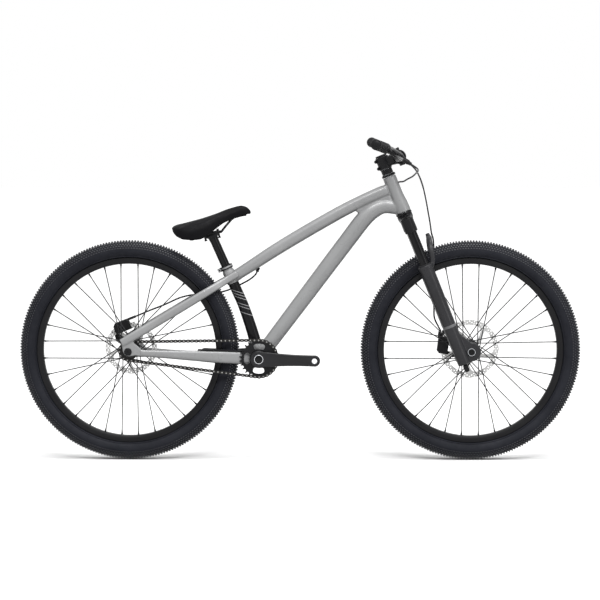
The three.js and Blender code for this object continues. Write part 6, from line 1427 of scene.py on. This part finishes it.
# %% Cloth under pressure
def kept(made):
    """The mesh with its modifiers worked in: the evaluated object is copied and the modifiers go."""
    graph = bpy.context.evaluated_depsgraph_get()
    baked = bpy.data.meshes.new_from_object(made.evaluated_get(graph))
    made.modifiers.clear()
    made.data = baked
    return made


def corners_of(mesh):
    """All corners of a mesh as an array."""
    flat = np.zeros(len(mesh.vertices) * 3)
    mesh.vertices.foreach_get("co", flat)
    return flat.reshape(-1, 3)


def padded_by_cloth(made, voxel, pressure, frames, cap, held):
    """Swells a closed cover: an even voxel mesh becomes cloth under pressure, without weight, and is stepped
    through the frames. Corners where held says so stay, and no other moves further than the cap."""
    even = made.modifiers.new("even", "REMESH")
    even.mode, even.voxel_size, even.use_smooth_shade = "VOXEL", voxel, True
    kept(made)
    before = corners_of(made.data)
    group = made.vertex_groups.new(name="held")
    group.add(np.flatnonzero(held(before)).tolist(), 1.0, "REPLACE")
    cloth = made.modifiers.new("cloth", "CLOTH")
    cloth.settings.use_pressure = True
    cloth.settings.uniform_pressure_force = pressure
    cloth.settings.vertex_group_mass = "held"
    cloth.settings.quality = 6
    cloth.settings.tension_stiffness = cloth.settings.compression_stiffness = 25
    cloth.settings.effector_weights.gravity = 0
    cloth.point_cache.frame_end = frames
    for frame_number in range(1, frames + 1):
        bpy.context.scene.frame_set(frame_number)
    kept(made)
    bpy.context.scene.frame_set(1)
    way = corners_of(made.data) - before
    length = np.linalg.norm(way, axis=1, keepdims=True)
    after = before + way * np.minimum(1, cap / np.maximum(length, 1e-9))
    made.data.vertices.foreach_set("co", after.ravel())
    made.data.update()
    print(made.name, "corners", len(before), "moved up to", round(float(length.max()) * 1000, 1), "mm, kept",
          round(float(np.minimum(length, cap).max()) * 1000, 1))
    return made


def under_edge(points):
    """True for the corners below the saddle's lower line, where the cover is stapled to the shell."""
    line = np.interp(points[:, 0] * 1000, saddle_x, saddle_low + 0.24 * (saddle_top - saddle_low))
    return points[:, 2] * 1000 < line


padded_by_cloth(saddle, voxel=0.004, pressure=4.0, frames=20, cap=0.0022, held=under_edge)
smooth = saddle.modifiers.new("soften", "SMOOTH")
smooth.factor, smooth.iterations = 0.5, 4
fine = saddle.modifiers.new("fine", "SUBSURF")
fine.levels = fine.render_levels = 1
saddle.data.polygons.foreach_set("use_smooth", np.ones(len(saddle.data.polygons), bool))
saddle.data.materials.clear()
saddle.data.materials.append(vinyl)

# %% Saddle shell
inside = slice(2, -2)


def shell_line(drop):
    """The hollow's line on each station, a distance inside the cover."""
    rise = np.outer(saddle_roof[inside] - saddle_low[inside], under_rise) - drop * (under_rise > 0)
    x, low = (np.repeat(values[inside][:, None], 5, 1) for values in (saddle_x, saddle_low))
    return np.stack([x, np.outer(saddle_half[inside] - drop, under_across), low + rise], 2)


shell_rings = np.concatenate([shell_line(0.9), shell_line(3.9)[:, ::-1]], 1)
fine_shell = np.stack([smooth_path(shell_rings[:, k], 60) for k in range(10)], 1)
piece("saddle_shell_fine", [loft(fine_shell)], shell_plastic, "saddle", "shell_plastic", "saddle_shell",
      subdivide=1)

# %% [markdown]
# ## Floor and light
# The bike stands on a white floor under a white sky. The camera and the reflections see that white as it
# is, but the light that the sky throws on the bike falls off towards the horizon, which gives the tubes
# bright tops and darker sides. A wide, soft sun leaves thin strips of shadow under the tyres, and two
# softboxes draw highlights along the tubes. The floor sends little light back up, as in a large studio.

# %% Floor
floor_half, floor_gap = 30, 0.0004
floor_corners = [(floor_half * x, floor_half * y, 0) for x, y in ((-1, -1), (1, -1), (1, 1), (-1, 1))]
floor_mesh = bpy.data.meshes.new("floor")
floor_mesh.from_pydata(floor_corners, [], [(0, 1, 2, 3)])
floor = bpy.data.objects.new("floor", floor_mesh)
bpy.context.scene.collection.objects.link(floor)
floor.location.z = -floor_gap
paper, nodes, link = node_graph("floor_paper")
shader = nodes.new("ShaderNodeBsdfDiffuse")
place = nodes.new("ShaderNodeTexCoord").outputs["Object"]
bounced = nodes.new("ShaderNodeLightPath").outputs["Is Diffuse Ray"]
pale_paper = mixed(nodes, link, noise(nodes, link, place, 3.0), (0.93, 0.93, 0.93), (0.95, 0.95, 0.95))
link(mixed(nodes, link, bounced, pale_paper, (0.14, 0.14, 0.14)), shader.inputs["Color"])
link(shader.outputs["BSDF"], nodes.new("ShaderNodeOutputMaterial").inputs["Surface"])
floor_mesh.materials.append(paper)
print("floor", floor.name, "of", paper.name)

# %% World
world = bpy.data.worlds.new("studio")
bpy.context.scene.world = world
world.use_nodes = True
nodes, link = world.node_tree.nodes, world.node_tree.links.new
nodes.clear()
path = nodes.new("ShaderNodeLightPath")
light, seen = nodes.new("ShaderNodeBackground"), nodes.new("ShaderNodeBackground")
chosen = nodes.new("ShaderNodeMixShader")
height = nodes.new("ShaderNodeSeparateXYZ")
link(nodes.new("ShaderNodeTexCoord").outputs["Generated"], height.inputs["Vector"])
fall = ranged(nodes, link, height.outputs["Z"], 0.08, 0.8, -0.1, 0.9)
link(fall, light.inputs["Strength"])
for background in (light, seen):
    background.inputs["Color"].default_value = (1, 1, 1, 1)
seen.inputs["Strength"].default_value = 1.0
plain = path.outputs["Is Camera Ray"]
for ray in ("Is Glossy Ray", "Is Transmission Ray"):
    either = nodes.new("ShaderNodeMath")
    either.operation = "MAXIMUM"
    link(plain, either.inputs[0])
    link(path.outputs[ray], either.inputs[1])
    plain = either.outputs[0]
link(plain, chosen.inputs["Fac"])
link(light.outputs["Background"], chosen.inputs[1])
link(seen.outputs["Background"], chosen.inputs[2])
link(chosen.outputs["Shader"], nodes.new("ShaderNodeOutputWorld").inputs["Surface"])
print("world", world.name)

# %% Lamps
def lamp(name, kind, energy, place, target):
    """A lamp of a kind at a place, turned towards a target."""
    data = bpy.data.lights.new(name, kind)
    data.energy = energy
    made = bpy.data.objects.new(name, data)
    bpy.context.scene.collection.objects.link(made)
    made.location = place
    made.rotation_euler = (Vector(target) - Vector(place)).to_track_quat("-Z", "Y").to_euler()
    return data


sun = lamp("soft_sun", "SUN", 1.9, (0.1, -0.5, 4.0), (0, 0, 0))
sun.angle = np.radians(24)
side_box = lamp("tall_softbox", "AREA", 45, (4.2, -3.4, 1.6), (0.1, 0, 0.6))
side_box.shape, side_box.size, side_box.size_y = "RECTANGLE", 0.9, 3.0
high_box = lamp("high_softbox", "AREA", 170, (0.4, -3.4, 4.0), (0, 0, 0.5))
high_box.shape, high_box.size, high_box.size_y = "RECTANGLE", 4.0, 0.8
bpy.context.scene.view_settings.view_transform = "Standard"
print("lamps", *(data.name for data in bpy.data.lights))
